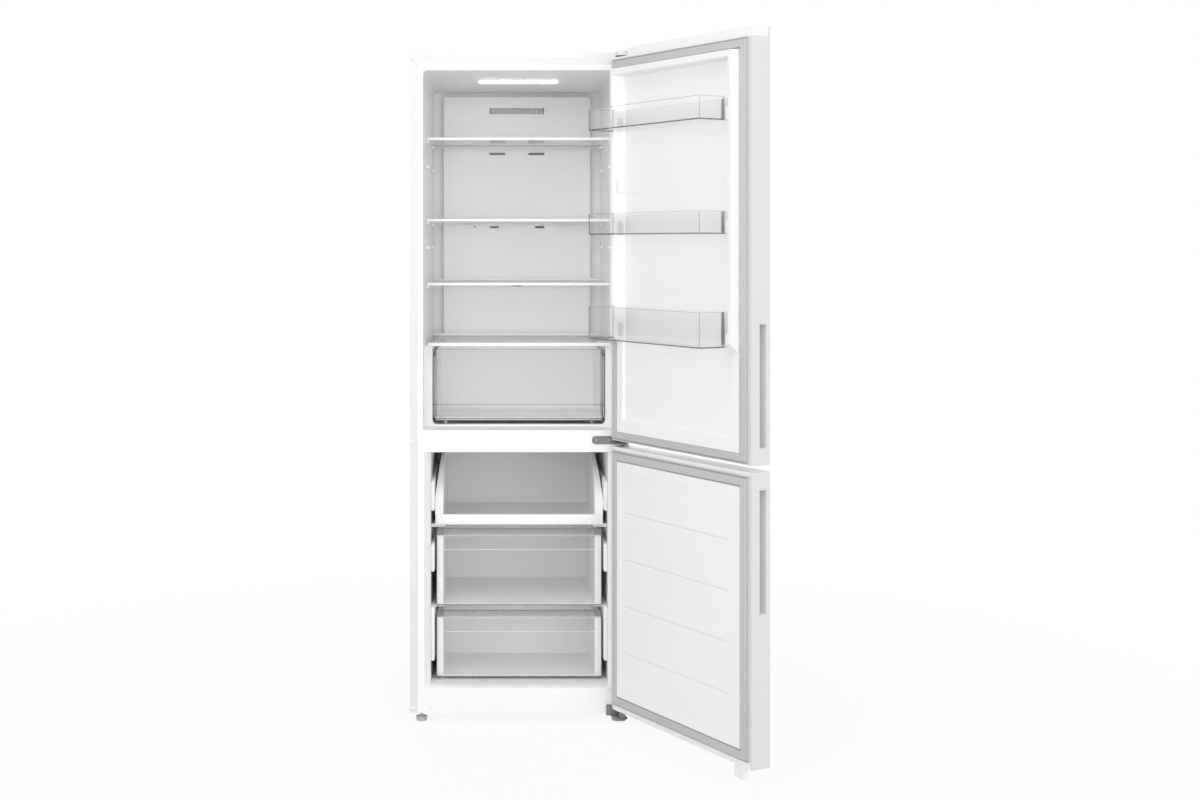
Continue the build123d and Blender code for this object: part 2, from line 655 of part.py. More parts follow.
coil_radius = 2.4
coil_rows = 12
with BuildPart() as condenser_coil:
    coil_plane_x = -foam_half_width + coil_radius + 0.1
    pitch = (coil_high_z - coil_low_z) / (coil_rows - 1)
    bend = pitch / 2
    with BuildLine(Plane.YZ.offset(coil_plane_x)) as route:
        for row in range(coil_rows):
            z = coil_low_z + row * pitch
            near, far = coil_low_y + bend, coil_high_y - bend
            start, end = (near, far) if row % 2 == 0 else (far, near)
            Line((start, z), (end, z))
            if row < coil_rows - 1:
                sign = 1 if row % 2 == 0 else -1
                ThreePointArc((end, z), (end + sign * bend, z + bend), (end, z + pitch))
    with BuildSketch(Plane(origin=route.line @ 0, z_dir=route.line % 0)):
        Circle(coil_radius)
    sweep(path=route.line)
save(condenser_coil, "condenser_coil")

# ---- Cold air: evaporator, fan, ducts -------------------------------------------------------------------
back_cover_y = (freezer_depth - 64.0, freezer_depth - 61.0)
evaporator_y = (freezer_depth - 50.0, freezer_depth)
evaporator_z = (freezer_bottom + 243.9, freezer_bottom + 453.9)
evaporator_half = freezer_half_width - 52.0
fin_pitch = 19.0
fin_sheet = 1.0
fan_z = evaporator_z[1] + 91.0
fan_ring_radius = 58.0
blade_radius = 52.0
blade_y = (back_cover_y[1] + 2.5, back_cover_y[1] + 22.5)
motor_radius = 22.0
hub_radius = 17.0
shaft_radius = 1.6

with BuildPart() as evaporator:
    fin_count = int(2 * evaporator_half / fin_pitch) + 1
    middle_y = (evaporator_y[0] + evaporator_y[1]) / 2
    middle_z = (evaporator_z[0] + evaporator_z[1]) / 2
    with Locations((0, middle_y, middle_z)):
        with GridLocations(fin_pitch, 1, fin_count, 1):
            Box(fin_sheet, evaporator_y[1] - evaporator_y[0], evaporator_z[1] - evaporator_z[0])
    for tube_row in range(6):
        tube_z = evaporator_z[0] + 20 + tube_row * 34
        for tube_y in (evaporator_y[0] + 12, evaporator_y[1] - 12):
            with Locations(Location((0, tube_y, tube_z), (0, 90, 0))):
                Cylinder(4, 2 * evaporator_half + 16)
save(evaporator, "evaporator")

cover_half = freezer_half_width - 3
cover_bottom = freezer_bottom + freezer_step_height + 2
cover_top = freezer_top - 2
with BuildPart() as freezer_back_cover:
    block((-cover_half, cover_half), back_cover_y, (cover_bottom, cover_top))
    with BuildSketch(Plane.XZ.offset(-back_cover_y[0])):
        with Locations((0, fan_z + 62), (0, basket_bottom - 40), (0, middle_drawer_bottom + 60)):
            with GridLocations(70, 1, 4, 1):
                SlotOverall(56, 12)
    extrude(amount=-(back_cover_y[1] - back_cover_y[0]), mode=Mode.SUBTRACT)
    lying(0, fan_z, fan_ring_radius + 3, (back_cover_y[1], blade_y[1]))
    lying(0, fan_z, fan_ring_radius, (back_cover_y[1], blade_y[1]), Mode.SUBTRACT)
    for arm in range(3):
        with Locations(Location((0, blade_y[1] + 2, fan_z), (0, 120 * arm, 0))):
            Box(6, 4, 2 * (fan_ring_radius + 3), align=(Align.CENTER, Align.CENTER, Align.CENTER))
    lying(0, fan_z, motor_radius, (blade_y[1] + 0.5, blade_y[1] + 8), Mode.SUBTRACT)
    lying(0, fan_z, motor_radius + 3, (blade_y[1], blade_y[1] + 4))
    lying(0, fan_z, motor_radius, (blade_y[1] - 1, blade_y[1] + 8), Mode.SUBTRACT)
save(freezer_back_cover, "freezer_back_cover")

with BuildPart() as fan_motor:
    lying(0, fan_z, motor_radius, (blade_y[1], blade_y[1] + 26))
    lying(0, fan_z, shaft_radius, (blade_y[0] + 4, blade_y[1]))
save(fan_motor, "fan_motor")

with BuildPart() as fan_blade:
    lying(0, fan_z, hub_radius, (blade_y[0], blade_y[1] - 1))
    for blade in range(7):
        angle = blade * 360 / 7
        spoke = Location((0, (blade_y[0] + blade_y[1] - 1) / 2, fan_z), (0, angle, 0))
        tilt = Location(((hub_radius + blade_radius) / 2, 0, 0), (35, 0, 0))
        with Locations(spoke * tilt):
            Box(blade_radius - hub_radius + 4, 1.6, 22)
    lying(0, fan_z, shaft_radius + pin_clearance, (blade_y[0] + 3.5, blade_y[1]), Mode.SUBTRACT)
save(fan_blade, "fan_blade")

vent_holes = (  # each pair of X limits, and how far its edges lie below the panel's top
    ((-82.8, 81.7), (51.3, 33.8)),
    ((-82.8, -35.7), (140.6, 132.8)),
    ((34.6, 81.9), (140.6, 132.8)),
    ((-82.8, -35.7), (175.6, 168.1)),
    ((34.6, 81.9), (175.6, 168.1)),
    ((-81.9, -55.0), (395.2, 389.8)),
    ((54.5, 81.9), (395.2, 389.8)),
    ((-12.2, 13.5), (571.4, 567.2)),
)
panel_face = 3.0
with BuildPart() as air_duct_panel:
    panel_x = (-duct_panel_half_width, duct_panel_half_width)
    block(panel_x, (duct_front, fridge_depth - 0.5), (duct_panel_bottom, duct_panel_top))
    fillet(air_duct_panel.edges().filter_by(Axis.Y).group_by(Axis.Z)[-1], 8)
    channel_y = (duct_front + panel_face, fridge_depth)
    block((-95, 95), channel_y, (duct_panel_bottom, duct_panel_top - 15), Mode.SUBTRACT)
    for x, drop in vent_holes:
        z = (duct_panel_top - drop[0], duct_panel_top - drop[1])
        block(x, (duct_front - 1, duct_front + panel_face + 1), z, Mode.SUBTRACT)
save(air_duct_panel, "air_duct_panel")

flap_axis_z = (freezer_top + crisper_floor) / 2 + 10
flap_axis_y = duct_low_y + 7.0
housing_wall = 2.0
flap_half = duct_half_width - housing_wall - 1.0
flap_pin = 1.5
with BuildPart() as damper_housing:
    housing_x = (-duct_half_width, duct_half_width)
    housing_z = (freezer_top - 1, crisper_floor - 0.5)
    block(housing_x, (duct_low_y, duct_high_y), housing_z)
    inner_x = duct_half_width - housing_wall
    bore_y = (duct_low_y + housing_wall, duct_high_y - housing_wall)
    block((-inner_x, inner_x), bore_y, housing_z, Mode.SUBTRACT)
    with Locations(Location((0, flap_axis_y, flap_axis_z), (0, 90, 0))):
        Cylinder(flap_pin + pin_clearance, 2 * duct_half_width, mode=Mode.SUBTRACT)
save(damper_housing, "damper_housing")

with BuildPart() as damper_flap:
    flap_y = (flap_axis_y - 0.8, flap_axis_y + 0.8)
    flap_length = duct_high_y - housing_wall - 1.0 - flap_axis_y
    block((-flap_half, flap_half), flap_y, (flap_axis_z - flap_length, flap_axis_z))
    with Locations(Location((0, flap_axis_y, flap_axis_z), (0, 90, 0))):
        Cylinder(flap_pin, 2 * duct_half_width - 1)
save(damper_flap, "damper_flap")

light_half = 112.0
light_y = (232.0, 262.0)
ceiling_at_light = fridge_top - fridge_ceiling_drop * light_y[1] / fridge_depth
with BuildPart() as light_bar:
    block((-light_half, light_half), light_y, (ceiling_at_light - 3.7, ceiling_at_light - 0.2))
    fillet(light_bar.faces().sort_by(Axis.Z)[0].edges(), 1.2)
save(light_bar, "light_bar")


# ---- Shelves ------------------------------------------------------------------------------------------------
def shelf_half_width(y):
    """Half a shelf's width: it narrows to the back as the compartment does."""
    narrowing = fridge_draft * (y - shelf_front) / fridge_depth
    return shelf_front_half_width - narrowing


def shelf_plan(z, front, back, inset):
    """The outline of a shelf between two depths, a little narrower at the back."""
    near = shelf_half_width(front) - inset
    far = shelf_half_width(back) - inset
    with BuildSketch(Plane.XY.offset(z)) as plan:
        with BuildLine():
            Polyline((-near, front), (near, front), (far, back), (-far, back), close=True)
        make_face()
    return plan.sketch


def shelf(name, top):
    glass_low = top - 1.2 - shelf_glass
    glass_ends = (shelf_front + 2, shelf_back - 2)
    with BuildPart() as glass:
        extrude(shelf_plan(glass_low, glass_ends[0], glass_ends[1], 0.5), amount=shelf_glass)
    save(glass, name + "_glass")
    with BuildPart() as trim:
        front_strip = shelf_plan(top - shelf_trim_height, shelf_front, shelf_front + shelf_trim_depth, 0)
        extrude(front_strip, amount=shelf_trim_height)
        fillet(trim.faces().sort_by(Axis.Y)[0].edges().filter_by(Axis.X), 1.5)
        back_strip = shelf_plan(top - shelf_trim_height, shelf_back - shelf_trim_depth, shelf_back, 0)
        extrude(back_strip, amount=shelf_trim_height + 4)
        add(glass.part, mode=Mode.SUBTRACT)
    save(trim, name + "_trim")


for name, top in shelf_tops.items():
    shelf(name, top)

cover_glass_low = crisper_ledge + 3.0
cover_half_width = fridge_half_width - fridge_draft * shelf_back / fridge_depth - 1.0
with BuildPart() as crisper_cover_glass:
    glass_y = (cover_front + 2, shelf_back - 2)
    block((-cover_half_width + 0.5, cover_half_width - 0.5), glass_y, (cover_glass_low, cover_glass_low + shelf_glass))
save(crisper_cover_glass, "crisper_cover_glass")

with BuildPart() as crisper_cover_trim:
    cover_x = (-cover_half_width, cover_half_width)
    block(cover_x, (crisper_setback + 3, shelf_back), (crisper_ledge + slide_gap, cover_glass_low))
    inner_x = cover_half_width - cover_frame
    inner_y = (crisper_setback + 3 + cover_frame, shelf_back - cover_frame)
    block((-inner_x, inner_x), inner_y, (crisper_ledge, cover_glass_low), Mode.SUBTRACT)
    strip_z = (crisper_ledge + slide_gap, crisper_ledge + cover_trim_height)
    block(cover_x, (cover_front, crisper_setback + 3), strip_z)
    block(cover_x, (shelf_back - shelf_trim_depth, shelf_back), (crisper_ledge + slide_gap, crisper_ledge + 14))
    add(crisper_cover_glass.part, mode=Mode.SUBTRACT)
save(crisper_cover_trim, "crisper_cover_trim")


# ---- Drawers ------------------------------------------------------------------------------------------------
def rounded_tub(x, y, z, wall, radius):
    """An open-topped tub with rounded upright corners."""
    middle = ((x[0] + x[1]) / 2, (y[0] + y[1]) / 2)
    with BuildSketch(Plane.XY.offset(z[0])) as outside:
        with Locations(middle):
            RectangleRounded(x[1] - x[0], y[1] - y[0], radius)
    extrude(outside.sketch, amount=z[1] - z[0])
    with BuildSketch(Plane.XY.offset(z[0] + wall)) as inside:
        with Locations(middle):
            RectangleRounded(x[1] - x[0] - 2 * wall, y[1] - y[0] - 2 * wall, radius - wall)
    extrude(inside.sketch, amount=z[1] - z[0], mode=Mode.SUBTRACT)


crisper_half = crisper_half_width - crisper_clearance
with BuildPart() as crisper_drawer:
    tub_half = crisper_half - 7
    tub_front = crisper_setback + 4
    tub_low = runner_top + slide_gap
    tub_high = crisper_front_top - 8
    tub_back = crisper_setback + crisper_length
    rounded_tub((-tub_half, tub_half), (tub_front, tub_back), (tub_low, tub_high), tub_wall, 8)
    front_height = crisper_front_top - crisper_front_bottom
    with BuildSketch(Plane.XZ.offset(-crisper_setback)) as front_face:
        with Locations((0, (crisper_front_bottom + crisper_front_top) / 2)):
            Rectangle(2 * crisper_half, front_height)
        fillet(front_face.vertices().group_by(Axis.Y)[0], 8)
    extrude(amount=-(tub_front - crisper_setback + 1))
save(crisper_drawer, "crisper_drawer")


scoop = (
    (drawer_front_y + 6, basket_bottom + basket_lip_height - 2),
    (drawer_front_y + 52, basket_bottom + 134),
    (drawer_front_y + 190, basket_top),
    (drawer_back_y, basket_top),
)
with BuildPart() as freezer_basket:
    basket_y = (drawer_front_y + 3, drawer_back_y)
    rounded_tub((-tub_half_width, tub_half_width), basket_y, (basket_bottom, basket_top), tub_wall, 6)
    with BuildSketch(Plane.YZ):
        with BuildLine():
            Polyline(
                *scoop,
                (drawer_back_y, basket_top + 20),
                (0, basket_top + 20),
                (0, basket_bottom + basket_lip_height - 2),
                close=True,
            )
        make_face()
    extrude(amount=half_width, both=True, mode=Mode.SUBTRACT)
    lip_z = (basket_bottom, basket_bottom + basket_lip_height)
    block((-basket_half_width, basket_half_width), (drawer_front_y, drawer_front_y + 3.5), lip_z)
    for sign in (1, -1):
        with BuildSketch(Plane.YZ.offset(sign * (tub_half_width - tub_wall))):
            with BuildLine():
                Polyline(*scoop, *[(y + 1, z - 3) for y, z in reversed(scoop)], close=True)
            make_face()
        extrude(amount=sign * (basket_half_width - tub_half_width + tub_wall))
save(freezer_basket, "freezer_basket")


tub_corner = 6.0


def freezer_drawer(name, bottom, front_height, back_y):
    """A tub that its clear front panel closes."""
    tub_low = bottom
    tub_top = bottom + front_height - 20
    tub_y = (drawer_front_y + drawer_front_wall + 0.2, back_y)
    with BuildPart() as tub:
        rounded_tub((-tub_half_width, tub_half_width), tub_y, (tub_low, tub_top), tub_wall, tub_corner)
        open_half = tub_half_width - tub_wall - 0.2
        open_y = (tub_y[0] - 1, tub_y[0] + tub_corner)
        block((-open_half, open_half), open_y, (tub_low + tub_wall + 2, tub_top + 1), Mode.SUBTRACT)
        rim_y = (tub_y[0], tub_y[1] - 8)
        both_sides((tub_half_width - tub_wall, rim_half_width), rim_y, (tub_top - 3, tub_top))
        flange_y = (tub_y[0], tub_y[0] + 3)
        both_sides((tub_half_width - tub_wall, rim_half_width), flange_y, (bottom + 2, tub_top))
    save(tub, name + "_tub")
    with BuildPart() as front:
        front_y = (drawer_front_y, drawer_front_y + drawer_front_wall)
        front_z = (bottom, bottom + front_height)
        block((-drawer_half_width, drawer_half_width), front_y, front_z)
        grip_z = (front_z[1] - 3, front_z[1])
        block((-drawer_half_width, drawer_half_width), (front_y[1], front_y[1] + 14), grip_z)
        block((-drawer_half_width, drawer_half_width), (front_y[1] + 11, front_y[1] + 14), (grip_z[0] - 12, grip_z[1]))
        fillet(front.edges().filter_by(Axis.X).group_by(Axis.Y)[0], 1.2)
    save(front, name + "_front")


freezer_drawer("middle_drawer", middle_drawer_bottom, drawer_front_height, drawer_back_y)
freezer_drawer("bottom_drawer", bottom_drawer_bottom, bottom_front_height, bottom_drawer_back_y)


# ---- Doors, modelled shut -----------------------------------------------------------------------------------
def door_section(z, inset, back):
    """A door slab's plan at a height, its front corners rounded, drawn in from the skin."""
    with BuildSketch(Plane.XY.offset(z)) as section:
        depth = back - (door_outer + inset)
        with Locations((0, door_outer + inset + depth / 2)):
            Rectangle(cabinet_width - 2 * inset, depth)
        fillet(section.vertices().group_by(Axis.Y)[0].sort_by(Axis.X)[0], door_radius - inset)
        fillet(section.vertices().group_by(Axis.Y)[0].sort_by(Axis.X)[-1], hinge_side_radius - inset)
    return section.sketch


def grip_limits(low):
    y = (n(-grip_setback - grip_width), n(-grip_setback))
    return (-half_width, -half_width + grip_depth), y, (low, low + grip_length)


def door_skin(name, bottom, top, grip_low, cap_height):
    with BuildPart() as skin:
        extrude(door_section(bottom, 0, door_inner), amount=top - bottom)
        inside = door_section(bottom, shell_sheet, door_inner - shell_sheet)
        extrude(inside, amount=top - bottom, mode=Mode.SUBTRACT)
        opening = half_width - door_return
        block((-opening, opening), (door_inner - shell_sheet, door_inner), (bottom, top), Mode.SUBTRACT)
        _, y, z = grip_limits(grip_low)
        block((-half_width, -half_width + shell_sheet), y, z, Mode.SUBTRACT)
        if cap_height:
            cap_y = (door_inner - top_cap_depth, door_inner)
            block((-half_width, half_width), cap_y, (top - cap_height, top), Mode.SUBTRACT)
            notch_z = (top - cap_height + notch_floor, top)
            notch_x = (half_width - notch_width, half_width)
            block(notch_x, (door_outer, door_inner), notch_z, Mode.SUBTRACT)
    save(skin, name + "_skin", swing)


def door_grip(name, low):
    x, y, z = grip_limits(low)
    with BuildPart() as grip:
        block(x, y, z)
        inner_y = (y[0] + grip_wall, y[1] - grip_wall)
        block((x[0], x[1] - grip_wall), inner_y, (z[0] + grip_wall, z[1] - grip_wall), Mode.SUBTRACT)
    save(grip, name + "_grip", swing)


def gasket_limits(bottom, top):
    """The gasket's outer edges: half its width, and its lower and upper edges."""
    return half_width - door_return, bottom, top


def door_gasket(name, bottom, top):
    half, low, high = gasket_limits(bottom, top)
    with BuildPart() as gasket:
        block((-half, half), (n(0), n(gasket_base)), (low, high))
        inner = half - gasket_width
        inner_z = (low + gasket_width, high - gasket_width)
        block((-inner, inner), (n(0), n(gasket_base)), inner_z, Mode.SUBTRACT)
        face = n(door_standoff - gasket_gap)
        magnet = inner + gasket_magnet_width
        magnet_z = (inner_z[0] - gasket_magnet_width, inner_z[1] + gasket_magnet_width)
        block((-magnet, magnet), (n(gasket_base), face), magnet_z)
        block((-inner, inner), (n(gasket_base), face), inner_z, Mode.SUBTRACT)
    save(gasket, name + "_gasket", swing)


def pin_boss(z_low, z_high):
    """A round boss on the hinge axis, in the open builder."""
    upright(pin_x, pin_y, boss_diameter / 2, (z_low, z_high))


def pin_bore(z_low, z_high):
    upright(pin_x, pin_y, hole_radius, (z_low, z_high), Mode.SUBTRACT)


def inset_cap(low, height, opens_up):
    """A tray that closes an end of a door slab, inside its skin and behind its liner."""
    extrude(door_section(low, shell_sheet, n(-liner_wall)), amount=height)
    half = half_width - shell_sheet - cap_wall
    y = (door_outer + shell_sheet + cap_wall, n(-liner_wall) - cap_wall)
    z = (low + cap_wall, low + height) if opens_up else (low, low + height - cap_wall)
    block((-half + door_radius, half - hinge_side_radius), y, z, Mode.SUBTRACT)
    pin_boss(low, low + height)
    pin_bore(low, low + height)


# fridge door
fridge_gasket_bottom = fridge_door_bottom + 2.5
fridge_gasket_top = fridge_door_top - top_cap_height - 1.5
fridge_liner_top = fridge_door_top - top_cap_height
dyke_bottom = fridge_gasket_bottom + gasket_width
dyke_top = fridge_top - 3.2
low_dyke_end = dyke_bottom + dyke_end_rise


def fridge_door_form(inset):
    """The raised form of the fridge door's liner: its dykes, panel and low frame, or the foam in it."""
    half = half_width - dyke_inset - inset
    height = dyke_height - inset
    with BuildPart() as form:
        with BuildSketch(Plane.XZ.offset(-n(-liner_wall))):
            with Locations((0, (dyke_bottom + dyke_top) / 2)):
                Rectangle(2 * half, dyke_top - dyke_bottom - 2 * inset)
        with BuildSketch(Plane.XZ.offset(-n(height))):
            with Locations((0, (dyke_bottom + dyke_top) / 2)):
                lean = 2 * (half - dyke_lean)
                Rectangle(lean, dyke_top - dyke_bottom - 2 * inset - 2 * dyke_lean)
        loft()
        rim_half = half_width - dyke_inset - dyke_lean - dyke_width + inset
        rim_top = dyke_top - dyke_top_width + inset
        rim_bottom = dyke_bottom + 8 - inset
        floor_half = rim_half - dyke_slope
        floor_top = rim_top - 4
        floor_bottom = dyke_bottom + low_frame_width - inset
        with BuildSketch(Plane.XZ.offset(-n(panel_rise - inset))):
            with Locations((0, (floor_bottom + floor_top) / 2)):
                Rectangle(2 * floor_half, floor_top - floor_bottom)
        with BuildSketch(Plane.XZ.offset(-n(dyke_height))):
            with Locations((0, (rim_bottom + rim_top) / 2)):
                Rectangle(2 * rim_half, rim_top - rim_bottom)
        loft(mode=Mode.SUBTRACT)
        with BuildSketch(Plane.YZ):
            with BuildLine():
                low = n(low_frame_height - inset)
                slope_start = low_dyke_end + 0.42 * inset  # leaves a full wall behind the 45 degree end
                Polyline(
                    (low, dyke_bottom - 5),
                    (low, slope_start),
                    (n(dyke_height + 1), slope_start + dyke_height - low_frame_height),
                    (n(dyke_height + 1), dyke_bottom - 5),
                    close=True,
                )
            make_face()
        extrude(amount=half_width, both=True, mode=Mode.SUBTRACT)
    return form.part


fridge_form = fridge_door_form(0)
fridge_form_inside = fridge_door_form(liner_wall)
hook_height = 34.0
hook_span = (14.0, 26.0)
slope_at_hook = half_width - dyke_inset - dyke_lean - dyke_width - dyke_slope * (
    (dyke_height - hook_span[0]) / (dyke_height - panel_rise)
)
lug_face = slope_at_hook - 5.5

with BuildPart() as fridge_door_liner:
    flange_half = half_width - door_return
    flange_y = (n(-liner_wall), n(0))
    block((-flange_half, flange_half), flange_y, (fridge_door_bottom, fridge_liner_top))
    add(fridge_form)
    for name in bin_bottoms:
        lug_z = (bin_bottoms[name] + 4, bin_bottoms[name] + hook_height)
        lug_y = (n(hook_span[0] - 2), n(hook_span[1] + 2))
        both_sides((lug_face, slope_at_hook + 12), lug_y, lug_z)
    add(fridge_form_inside, mode=Mode.SUBTRACT)
save(fridge_door_liner, "fridge_door_liner", swing)

fridge_grip_low = fridge_door_bottom + fridge_grip_rise
door_skin("fridge_door", fridge_door_bottom, fridge_door_top, fridge_grip_low, top_cap_height)
door_grip("fridge_door", fridge_grip_low)
door_gasket("fridge_door", fridge_gasket_bottom, fridge_gasket_top)

with BuildPart() as fridge_door_foam:
    slab = door_section(fridge_door_bottom + inset_cap_height, shell_sheet, n(-liner_wall))
    extrude(slab, amount=fridge_liner_top - fridge_door_bottom - inset_cap_height)
    add(fridge_form_inside)
    gx, gy, gz = grip_limits(fridge_grip_low)
    block(gx, gy, gz, Mode.SUBTRACT)
    pocket = (fridge_liner_top - pin_grip, fridge_liner_top)
    upright(pin_x, pin_y, boss_diameter / 2, pocket, Mode.SUBTRACT)
save(fridge_door_foam, "fridge_door_foam", swing)

with BuildPart() as fridge_door_caps:
    inset_cap(fridge_door_bottom, inset_cap_height, True)
    cap_x = (-half_width, half_width)
    cap_z = (fridge_liner_top, fridge_door_top)
    notch_left = half_width - notch_width
    block(cap_x, (n(-top_cap_depth), door_inner), (cap_z[0], cap_z[0] + notch_floor))
    block((-half_width, notch_left), (n(-top_cap_depth), door_inner), cap_z)
    core_y = (door_outer + shell_sheet, n(-top_cap_depth))
    core_left = -half_width + shell_sheet + door_radius
    block((core_left, notch_left), core_y, cap_z)
    core_right = half_width - shell_sheet - hinge_side_radius
    block((notch_left, core_right), core_y, (cap_z[0], cap_z[0] + notch_floor))
    hollow_x = (core_left + cap_wall, notch_left - cap_wall)
    hollow_y = (door_outer + shell_sheet + cap_wall, door_inner - cap_wall)
    block(hollow_x, hollow_y, (cap_z[0], cap_z[1] - cap_wall), Mode.SUBTRACT)
    pin_boss(cap_z[0] - pin_grip, cap_z[0] + notch_floor)
    pin_bore(cap_z[0] - pin_grip, cap_z[0] + notch_floor)
save(fridge_door_caps, "fridge_door_caps", swing)


# ---- Door bins ------------------------------------------------------------------------------------------------
def bin_plan(inset):
    """A door bin's plan: narrow between the dykes, wider in front of them."""
    rear_half = lug_face - 1.7 - inset
    front_half = bin_half_width - inset
    rear_y = (n(panel_rise + 2) + inset, n(bin_reach) - inset)
    front_y = (n(dyke_height + 2.5) + inset, n(bin_reach) - inset)
    with Locations((0, (rear_y[0] + rear_y[1]) / 2)):
        Rectangle(2 * rear_half, rear_y[1] - rear_y[0])
    with Locations((0, (front_y[0] + front_y[1]) / 2)):
        Rectangle(2 * front_half, front_y[1] - front_y[0])


def door_bin(name):
    low = bin_bottoms[name]
    high = low + bin_heights[name]
    with BuildPart() as tray:
        with BuildSketch(Plane.XY.offset(low)) as plan:
            bin_plan(0)
            fillet(plan.vertices().group_by(Axis.Y)[-1], bin_corner)
        extrude(amount=high - low)
        with BuildSketch(Plane.XY.offset(low + tub_wall)) as hollow:
            bin_plan(tub_wall)
            fillet(hollow.vertices().group_by(Axis.Y)[-1], bin_corner - tub_wall)
        extrude(amount=high - low, mode=Mode.SUBTRACT)
        hook_z = (low + hook_height + slide_gap, low + hook_height + 5)
        hook_x = (lug_face - 2.0, slope_at_hook - 1.0)
        both_sides(hook_x, (n(hook_span[0] + 0.5), n(hook_span[1])), hook_z)
    save(tray, name, swing)


for name in bin_bottoms:
    door_bin(name)

# ---- Freezer door ------------------------------------------------------------------------------------------------
freezer_gasket_bottom = freezer_door_bottom + 16.0
freezer_gasket_top = freezer_door_top - 9.0
form_bottom = freezer_gasket_bottom + gasket_width + 1
form_top = freezer_gasket_top - gasket_width - 1
form_height = 10.0
form_half = half_width - door_return - gasket_width - 1
bead_half = 223.0
bead_height = 7.0
bead_depth = 1.0  # each groove is pressed into the liner's panel
bead_count = 4
bead_pitch = 124.5
first_bead = freezer_door_bottom + 165.5


def freezer_door_form(inset):
    """The raised panel of the freezer door's liner, or the foam in it."""
    with BuildPart() as form:
        middle = (form_bottom + form_top) / 2
        with BuildSketch(Plane.XZ.offset(-n(-liner_wall))):
            with Locations((0, middle)):
                Rectangle(2 * (form_half - inset), form_top - form_bottom - 2 * inset)
        with BuildSketch(Plane.XZ.offset(-n(form_height - inset))):
            with Locations((0, middle)):
                Rectangle(2 * (form_half - inset - 3), form_top - form_bottom - 2 * inset - 6)
        loft()
    return form.part


freezer_form_inside = freezer_door_form(liner_wall)
with BuildPart() as freezer_door_liner:
    block((-flange_half, flange_half), flange_y, (freezer_door_bottom, freezer_door_top))
    add(freezer_door_form(0))
    for bead in range(bead_count):
        with BuildSketch(Plane.XZ.offset(-n(form_height))):
            with Locations((0, first_bead + bead * bead_pitch)):
                SlotOverall(2 * bead_half, bead_height)
        extrude(amount=bead_depth, mode=Mode.SUBTRACT)
    add(freezer_form_inside, mode=Mode.SUBTRACT)
save(freezer_door_liner, "freezer_door_liner", swing)

freezer_grip_low = freezer_door_top - freezer_grip_drop - grip_length
door_skin("freezer_door", freezer_door_bottom, freezer_door_top, freezer_grip_low, 0)
door_grip("freezer_door", freezer_grip_low)
door_gasket("freezer_door", freezer_gasket_bottom, freezer_gasket_top)

with BuildPart() as freezer_door_foam:
    slab = door_section(freezer_door_bottom + inset_cap_height, shell_sheet, n(-liner_wall))
    extrude(slab, amount=freezer_door_top - freezer_door_bottom - 2 * inset_cap_height)
    add(freezer_form_inside)
    gx, gy, gz = grip_limits(freezer_grip_low)
    block(gx, gy, gz, Mode.SUBTRACT)
save(freezer_door_foam, "freezer_door_foam", swing)

door_foot_x = (-half_width + 36.0, -half_width + 71.0)
door_foot_y = (n(-16.0), n(-liner_wall))
door_foot_clearance = 10.0
with BuildPart() as freezer_door_caps:
    inset_cap(freezer_door_bottom, inset_cap_height, True)
    inset_cap(freezer_door_top - inset_cap_height, inset_cap_height, False)
    block(door_foot_x, door_foot_y, (door_foot_clearance, freezer_door_bottom))
save(freezer_door_caps, "freezer_door_caps", swing)

# ---- Levelling feet -------------------------------------------------------------------------------------------------
foot_radius = 14.0
foot_height = 12.0
for name, side in (("front_foot_left", -1), ("front_foot_right", 1)):
    with BuildPart() as foot:
        upright(side * foot_x, foot_y, foot_radius, (0, foot_height))
        chamfer(foot.faces().sort_by(Axis.Z)[0].edges(), 2.0)
        upright(side * foot_x, foot_y, foot_radius + 1.5, (foot_height - 3.5, foot_height))
        upright(side * foot_x, foot_y, pin_radius, (foot_height, foot_stem_top))
    save(foot, name)
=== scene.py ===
"""A tall white refrigerator with its freezer below, its doors open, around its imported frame."""

import json
import math

import bmesh
import bpy
from mathutils import Matrix, Vector

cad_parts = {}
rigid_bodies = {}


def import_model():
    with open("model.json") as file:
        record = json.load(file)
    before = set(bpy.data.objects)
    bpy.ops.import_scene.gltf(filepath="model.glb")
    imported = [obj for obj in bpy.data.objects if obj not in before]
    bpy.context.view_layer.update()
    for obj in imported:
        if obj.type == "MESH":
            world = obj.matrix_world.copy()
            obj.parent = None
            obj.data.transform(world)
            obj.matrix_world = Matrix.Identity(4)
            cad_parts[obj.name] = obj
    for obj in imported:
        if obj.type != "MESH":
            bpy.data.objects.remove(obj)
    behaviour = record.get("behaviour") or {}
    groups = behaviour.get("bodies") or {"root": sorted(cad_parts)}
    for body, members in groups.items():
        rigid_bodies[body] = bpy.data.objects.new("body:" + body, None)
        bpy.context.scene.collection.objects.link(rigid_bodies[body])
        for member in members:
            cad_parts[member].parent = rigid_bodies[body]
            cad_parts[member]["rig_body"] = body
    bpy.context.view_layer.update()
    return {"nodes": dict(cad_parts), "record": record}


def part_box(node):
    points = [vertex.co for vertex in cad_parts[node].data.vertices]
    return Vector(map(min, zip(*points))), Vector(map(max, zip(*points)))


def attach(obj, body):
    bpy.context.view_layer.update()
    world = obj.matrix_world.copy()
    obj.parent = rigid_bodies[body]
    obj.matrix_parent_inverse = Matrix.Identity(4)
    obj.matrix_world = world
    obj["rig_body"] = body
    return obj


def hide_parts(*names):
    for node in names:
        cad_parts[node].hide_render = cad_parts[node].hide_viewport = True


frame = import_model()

bl_info = {
    "name": "Bottom freezer refrigerator",
    "version": (1, 0, 0),
    "blender": (4, 5, 0),
    "location": "3D View > Sidebar > Refrigerator",
    "description": "Builds the skins, seals, glass, drawers and machinery of a refrigerator around its frame",
    "category": "Add Mesh",
}

